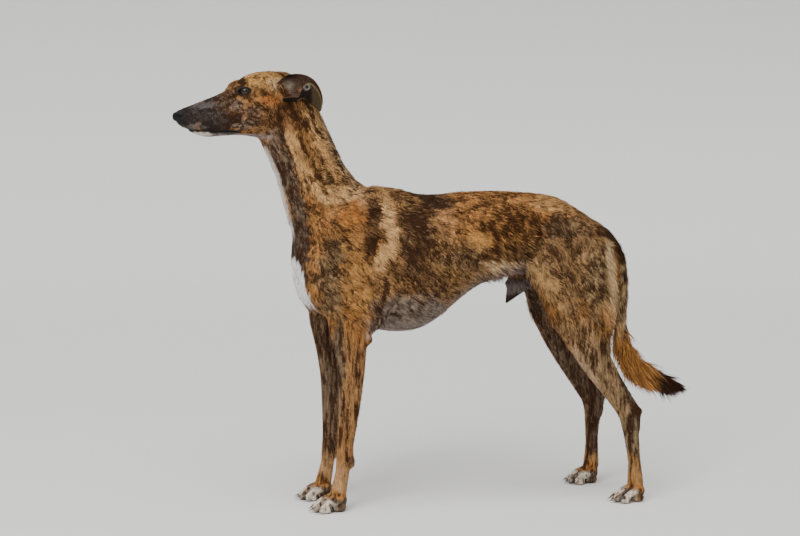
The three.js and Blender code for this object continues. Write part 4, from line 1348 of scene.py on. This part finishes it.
def ear_colours(p, u, v, bend, inner):
    """Light and dark colour, with painted shade in the hollow and painted light and shade at the curl: u
    along the ear, v and bend across it, inner 1 on the hollow's side.
    """
    light = np.tile(paint("#8a6846"), (len(u), 1))
    dark = np.tile(paint("#2a1a0f"), (len(u), 1))

    def lay(weight, first, second):
        nonlocal light, dark
        light = light + weight[:, None] * (paint(first) - light)
        dark = dark + weight[:, None] * (paint(second) - dark)

    def spot(x, z, long, high):
        return bell(p[:, 0] - x, long, p[:, 2] - z, high)

    hollow = inner * ramp(1.5, 1.2, bend)
    # painted shade: the inside of the hollow is darkened
    lay(hollow, "#684c3b", "#271912")
    lay(hollow * spot(-346, 950, 13, 13), "#a8967f", "#5d4a3b")
    # painted shade: darker still low at the front of the hollow
    lay(hollow * spot(-352, 925, 16, 8), "#6b4a38", "#22150f")
    lay(spot(-350, 975, 26, 12), "#1c120c", "#0b0805")
    lay(hollow * spot(-322, 942, 6, 5), "#a9725a", "#6a3f30")
    over = (1 - inner) * ramp(1.4, 1.7, bend)
    lay(over, "#231911", "#0e0a07")
    lay(over * ramp(-303, -295, p[:, 0]), "#54462f", "#282016")
    fold = bell(bend - 1.85, 0.14) * ramp(0.3, 0.4, u) * ramp(0.8, 0.65, u)
    lay(fold, "#a87a50", "#5b3820")
    lay(bell(v - 0.985, 0.02) * ramp(0.5, 0.65, u), "#8d7853", "#54452e")
    # painted light and shade: a pale ring with a black middle stands in for the lit rim of the curl and the
    # shade inside it
    curl = np.hypot(p[:, 0] + EAR_CURL[0], p[:, 2] - EAR_CURL[1])
    lay((1 - inner) * bell(curl - 6.0, 1.5), "#a3968a", "#7e7268")
    lay((1 - inner) * np.exp(-((curl / 4.2) ** 4)), "#0d0a08", "#0d0a08")
    return light, dark


ear_paint = make_ear_material()
ear_flaps = []
for side_name, turn in (("left", LEFT), ("right", RIGHT)):
    layers, along, bend = ear_layers(turn)
    name = f"ear_flap_{side_name}"
    ear_mesh = sheet_mesh(name, layers)
    rows, columns = bend.shape
    u, v = np.meshgrid(np.linspace(0, 1, rows), np.linspace(0, 1, columns), indexing="ij")
    u, v, bend = (np.tile(values.ravel(), 2) for values in (u, v, bend))
    inner = np.repeat([0.0, 1.0], rows * columns)
    place = coordinates(ear_mesh)
    give(ear_mesh, "root", place * MM)
    for key, values in zip(("light", "dark"), ear_colours(place, u, v, bend, inner)):
        give(ear_mesh, key, values)
    give(ear_mesh, "along", np.tile(np.repeat(along, columns, axis=0), (2, 1)))
    flap = add_piece(name, ear_mesh, ear_paint)
    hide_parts(f"ear_{side_name}")
    ear_flaps.append(flap)

# Coat

TUFT_LENGTH = 12.5  # on the trunk
TUFTS_ON_TRUNK = 0.112  # for each square millimetre
TUFTS_ON_EAR = 0.22
TUFT_FLAT = 0.32  # a tuft's thickness as a share of its width
TUFT_ROOT_SIZE = 0.85  # the size of its base, as a share of its middle
LENGTH_VARIES = 0.22
LIFT_VARIES = 0.5
WAY_VARIES = 0.16
SHADE_VARIES = 0.22
DARK_VARIES = 0.12
PATCH = 0.0015  # half the size of a tuft's patch on the unwrap
TIP_AT = [0, 0, 0, 0.5, 0.5, 0.5, 1.0]  # how near to the tip each of a tuft's seven corners is


def lie_of_coat(p, n):
    """The way the hair points: back from the nose, down the neck and legs, back and down over the trunk.

    Each region turns the way towards its own by its weight; the tail's follows its spine. Waves are
    then added, and what stands off the skin is taken away.
    """
    x, y, z = p.T
    s = np.sign(y)
    one = np.ones(len(p))
    way = np.stack([one, 0.05 * s, -0.35 - 0.5 * ramp(700, 560, z)], 1)

    def turn(weight, *new):
        nonlocal way
        way = way + weight[:, None] * (np.stack([v * one for v in new], 1) - way)

    turn(ramp(-230, -330, x) * ramp(620, 700, z), 0.42, 0.1 * s, -0.9)
    turn(ramp(-380, -430, x) * ramp(800, 840, z), 1, 0.25 * s, -0.15)
    turn(ramp(-250, -310, x) * ramp(700, 620, z), 0.1, 0.2 * s, -1)
    turn(ramp(470, 400, z) * (x < -120), 0.16 + 0.5 * np.clip(n[:, 0], 0, 1), 0, -1)
    turn(ramp(230, 290, x) * ramp(660, 560, z), 0.45, 0, -1)
    turn(ramp(400, 320, z) * (x > 200), 0.35, 0, -1)
    turn(ramp(60, 36, z), -1, 0, -0.45)
    on_tail = tail_part(p)
    spine = np.array(TAIL)[:, [0, 2]]
    step = spine[1:] - spine[:-1]
    middles = (spine[1:] + spine[:-1]) / 2
    nearest = np.argmin(((p[:, None, [0, 2]] - middles[None]) ** 2).sum(2), 1)
    ahead = unit(step[nearest].astype(float))
    below = ramp(430, 360, z) * 0.42
    turn(on_tail * 1.0, ahead[:, 0] - below * ahead[:, 1] * 0.2, 0.12 * s, ahead[:, 1] - below)
    wild = 1 - 0.6 * ramp(-380, -420, x) * ramp(800, 840, z)
    for size, seeds in ((40, (1, 2, 3)), (14, (4, 5, 6))):
        way = way + (0.22 * wild)[:, None] * np.stack([wander(p, size, seed) for seed in seeds], 1)
    return unit(way - (way * n).sum(1)[:, None] * n)


def hair_length(p, n):
    """Length of a tuft, how far it stands off the skin for its length, and its width.

    The trunk's length less a share for each region where the hair is short, more at the hem of the belly,
    behind the thighs and in the tail's brush; the width grows with the length.
    """
    x, y, z = p.T
    side = np.abs(y)
    long = TUFT_LENGTH - 1.5 * ramp(-250, -330, x)
    long = long - 7.0 * ramp(-370, -430, x) * ramp(810, 850, z)
    long = long - 0.5 * ramp(-520, -560, x) - 4.5 * ramp(440, 340, z)
    long = long - 3.0 * ramp(110, 50, z) - 1.8 * ramp(45, 25, z)
    lift = 0.085 + 0.035 * wander(p, 20, 41)
    hem = ramp(0.3, -0.5, n[:, 2]) * ramp(80, 120, x)
    hem = hem * ramp(262, 235, x) * ramp(490, 520, z)
    breech = ramp(340, 362, x) * ramp(0.0, 0.5, n[:, 0]) * ramp(325, 370, z)
    breech = breech * ramp(640, 610, z) * (side > 14)
    edge = ramp(-0.3, -0.8, n[:, 0]) * ramp(225, 245, x) * ramp(400, 430, z) * (z < 560)
    long = long + 9 * hem + 3 * breech + 4 * edge
    lift = lift + 0.32 * hem + 0.22 * breech + 0.18 * edge
    purse = between(x, 150, 250) * (side < 26) * ramp(515, 500, z)
    elbow = bell(x + 165, 24, z - 395, 38)
    breast = ramp(-0.2, -0.7, n[:, 0]) * (x < -230) * ramp(640, 600, z)
    long = long - 9 * purse - 6 * elbow - 3 * breast
    lift = lift * (1 - 0.6 * elbow) * (1 - 0.5 * breast)
    on_tail = tail_part(p)
    brush = on_tail * ramp(440, 370, z)
    long = np.where(on_tail, 16 + 26 * brush - 22 * ramp(535, 580, x), long)
    lift = np.where(on_tail, 0.13 + 0.03 * brush, lift)
    return long, np.maximum(lift, 0.02), 0.55 + 0.05 * long


def tuft_density(p):
    """Tufts for each square millimetre: more on the head, low on the legs and on the tail."""
    x, z = p[:, 0], p[:, 2]
    density = np.full(len(p), TUFTS_ON_TRUNK)
    density += 0.16 * ramp(-380, -420, x) * ramp(800, 840, z)
    density += 0.07 * (z < 120) + 0.16 * tail_part(p)
    return density


def root_points(mesh, density):
    """Random places on the faces, as many as the density and each face's area ask for.

    Gives the places, the way out, the unwrap's places, and a function that carries vertex values there.
    """
    mesh.calc_loop_triangles()
    count = len(mesh.loop_triangles)
    verts = np.empty(count * 3, int)
    loops = np.empty(count * 3, int)
    mesh.loop_triangles.foreach_get("vertices", verts)
    mesh.loop_triangles.foreach_get("loops", loops)
    verts, loops = verts.reshape(-1, 3), loops.reshape(-1, 3)
    co, normal = coordinates(mesh), vertex_normals(mesh)
    uv = np.empty(len(mesh.loops) * 2)
    mesh.uv_layers["OFBake"].data.foreach_get("uv", uv)
    uv = uv.reshape(-1, 2)
    a, b, c = co[verts[:, 0]], co[verts[:, 1]], co[verts[:, 2]]
    area = np.linalg.norm(np.cross(b - a, c - a), axis=1) / 2
    wanted = area * density((a + b + c) / 3)
    picked = np.repeat(np.arange(count), random.poisson(wanted))
    r, t = np.sqrt(random.random(len(picked))), random.random(len(picked))
    share = np.stack([1 - r, r * (1 - t), r * t], 1)[:, :, None]

    def carried(values):
        return (values[verts[picked]] * share).sum(1)

    return carried(co), unit(carried(normal)), (uv[loops[picked]] * share).sum(1), carried


def tuft_mesh(name, root, n, way, long, lift, wide, uv):
    """Three-sided spikes, flat and bent along the lie, of a base ring, a middle ring and a tip.

    The base lies 0.5 mm in the skin, the middle at 0.45 of the length and 0.75 of the rise, the tip at
    the full length and 0.95 of the rise. Each ring has three corners, and the base is closed.
    """
    across = np.cross(n, way)
    thick = TUFT_FLAT * wide
    rise = lift * long
    base = root - 0.5 * n
    middle = root + (0.45 * long)[:, None] * way + (0.75 * rise)[:, None] * n
    tip = root + long[:, None] * way + (0.95 * rise)[:, None] * n
    corners = []
    for centre, size in ((base, TUFT_ROOT_SIZE), (middle, 1.0)):
        for angle in np.array([0.0, 2 * pi / 3, 4 * pi / 3]) + pi / 2:
            sideways = (size * wide * np.cos(angle) / 2)[:, None] * across
            corners.append(centre + sideways + (size * thick * np.sin(angle) / 2)[:, None] * n)
    verts = np.stack([*corners, tip], 1).reshape(-1, 3)
    faces = [[0, 2, 1]]
    for i in range(3):
        j = (i + 1) % 3
        faces += [[i, j, j + 3], [i, j + 3, i + 3], [i + 3, j + 3, 6]]
    faces = (np.arange(len(root))[:, None, None] * len(TIP_AT) + np.array(faces)).reshape(-1, 3)
    mesh = bpy.data.meshes.new(name)
    mesh.vertices.add(len(verts))
    mesh.vertices.foreach_set("co", (verts * MM).ravel())
    mesh.loops.add(faces.size)
    mesh.loops.foreach_set("vertex_index", faces.ravel())
    mesh.polygons.add(len(faces))
    mesh.polygons.foreach_set("loop_start", np.arange(0, faces.size, 3))
    shade_smooth(mesh)
    mesh.update(calc_edges=True)
    shape = np.array([[-1, -1], [0, -1], [1, -1], [-1, 0], [0, 0], [1, 0], [0, 1]]) * PATCH
    patch = np.clip(uv[:, None] + shape, 0.0005, 0.9995).reshape(-1, 2)
    mesh.uv_layers.new(name="OFBake").data.foreach_set("uv", patch[faces.ravel()].ravel())
    return mesh


def lay_coat(name, root, n, uv, chosen):
    """One piece of the coat: the tufts whose roots are chosen."""
    root, n, uv = root[chosen], n[chosen], uv[chosen]
    lay_tufts(name, root, n, uv, lie_of_coat(root, n), hair_length(root, n), markings(root, n))


def lay_tufts(name, root, n, uv, way, sizes, marks):
    """Tufts of somewhat varied length, lift, direction and shade, as one piece."""
    long, lift, wide = sizes
    vary = random.normal(0, 1, (len(root), 3))
    long = long * np.clip(1 + LENGTH_VARIES * vary[:, 0], 0.5, 1.6)
    lift = lift * np.clip(1 + LIFT_VARIES * vary[:, 1], 0.2, 2.4)
    way = unit(way + (WAY_VARIES * vary[:, 2])[:, None] * np.cross(n, way))
    mesh = tuft_mesh(name, root, n, way, long, lift, wide, uv)
    shade = np.clip(0.5 + SHADE_VARIES * random.normal(size=len(root)), 0, 1)
    jitter = DARK_VARIES * random.normal(size=len(root))
    give_markings(mesh, root, marks, len(TIP_AT), np.tile(TIP_AT, len(root)), shade, jitter)
    add_piece(name, mesh, tuft_paint)


# no tufts on bare leather or under the soles
root, out, root_uv, _ = root_points(skin_mesh, tuft_density)
bare = markings(root, out)[3]
keep = (random.random(len(root)) > 1.4 * bare) & (root[:, 2] > 2.5)
root, out, root_uv = root[keep], out[keep], root_uv[keep]

# the coat's pieces, by where the tufts' roots are
rx, ry, rz = root.T
on_tail = tail_part(root)
on_head = (rx < -375) & (rz > 815)
on_neck = ~on_head & (rx < -180) & (rz > 650) & (rz > 745 + 0.66 * (rx + 190))
on_leg = (rz < 372) & ~on_tail
rest = ~(on_tail | on_head | on_neck | on_leg)
COAT = {
    "coat_head": on_head,
    "coat_neck": on_neck,
    "coat_tail": on_tail,
    "coat_forelegs": on_leg & (rx < 0),
    "coat_hindlegs": on_leg & (rx >= 0),
}
for part, low, high in (("shoulder", -np.inf, -130), ("ribs", -130, 110), ("haunch", 110, np.inf)):
    for side_name, on_side in (("left", ry < 0), ("right", ry >= 0)):
        COAT[f"coat_{part}_{side_name}"] = rest & (rx >= low) & (rx < high) & on_side
for name, chosen in COAT.items():
    lay_coat(name, root, out, root_uv, chosen)


def lay_ear_coat(flap):
    """Short hair that lies along an ear, longer and looser in the hollow at its base."""
    mesh = flap.data
    unwrap(flap)
    root, n, uv, carried = root_points(mesh, lambda p: np.full(len(p), TUFTS_ON_EAR))
    light, dark, along = (carried(read(mesh, name)) for name in ("light", "dark", "along"))
    fluff = bell(root[:, 0] + 346, 14, root[:, 2] - 948, 14)
    long = 4.2 + 4.5 * fluff - 1.5 * ramp(-300, -285, root[:, 0])
    way = unit(along - (along * n).sum(1)[:, None] * n + [0, 0, -0.2])
    sizes = long, 0.10 + 0.22 * fluff, 0.45 + 0.06 * long
    marks = light, dark, np.full(len(root), 0.5), np.zeros(len(root))
    lay_tufts(flap.name.replace("ear_flap", "coat_ear"), root, n, uv, way, sizes, marks)


for flap in ear_flaps:
    lay_ear_coat(flap)

# Floor, light and camera

# the floor runs back, sweeps up behind through a quarter turn, and goes on straight up
FLOOR_FRONT = -6000
FLOOR_BACK = 5000
FLOOR_BEND = 2500
FLOOR_TOP = 9000
FLOOR_HALF_WIDTH = 12000
turned = np.linspace(0.1, pi / 2, 16)
level = np.linspace(FLOOR_FRONT, FLOOR_BACK, 12)
sweep = np.concatenate([level, FLOOR_BACK + FLOOR_BEND * np.sin(turned), [FLOOR_BACK + FLOOR_BEND]])
rise = np.concatenate([np.zeros(len(level)), FLOOR_BEND * (1 - np.cos(turned)), [FLOOR_TOP]])
across = np.linspace(-FLOOR_HALF_WIDTH, FLOOR_HALF_WIDTH, 9)
rows, spread = np.meshgrid(np.arange(len(sweep)), across, indexing="ij")
grid = np.stack([spread, sweep[rows], rise[rows]], -1)
i = np.arange(rows.size).reshape(rows.shape)
quads = np.stack([i[:-1, :-1], i[:-1, 1:], i[1:, 1:], i[1:, :-1]], -1).reshape(-1, 4)
floor_mesh = to_mesh("floor", grid.reshape(-1, 3), quads)
shade_smooth(floor_mesh)
floor = new_object("floor", floor_mesh)
floor_shader = Shader("pale_floor")
floor_shader.fill(floor_shader.main, {"Base Color": (0.80, 0.795, 0.78, 1), "Roughness": 0.9})
floor_mesh.materials.append(floor_shader.material)

world = bpy.data.worlds.new("soft_sky")
world.use_nodes = True
world.node_tree.nodes["Background"].inputs[0].default_value = (0.92, 0.92, 0.92, 1)
world.node_tree.nodes["Background"].inputs[1].default_value = 0.45
bpy.context.scene.world = world


def stand(name, data, place, turn):
    """An object for a light or camera at its place in metres, turned in degrees about X, Y and Z."""
    thing = bpy.data.objects.new(name, data)
    thing.location = place
    thing.rotation_euler = Euler([a * pi / 180 for a in turn])
    bpy.context.scene.collection.objects.link(thing)
    return thing


def place_light(name, kind, place, turn, power, **settings):
    """A lamp of that power, as part of the stage."""
    light = bpy.data.lights.new(name, kind)
    light.energy = power
    for key, value in settings.items():
        setattr(light, key, value)
    stand(name, light, place, turn)


place_light("overhead", "SUN", (0, 0, 4), (22, -8, 0), 2.6, angle=0.9)
place_light("key", "AREA", (-1.8, -2.4, 2.6), (48, 0, -36), 60, shape="DISK", size=1.8)

camera = bpy.data.cameras.new("camera")
camera.lens = 65.25
camera.sensor_width = 36
bpy.context.scene.camera = stand("camera", camera, (-0.720, -3.242, 0.8175), (85.23, 0, -11))
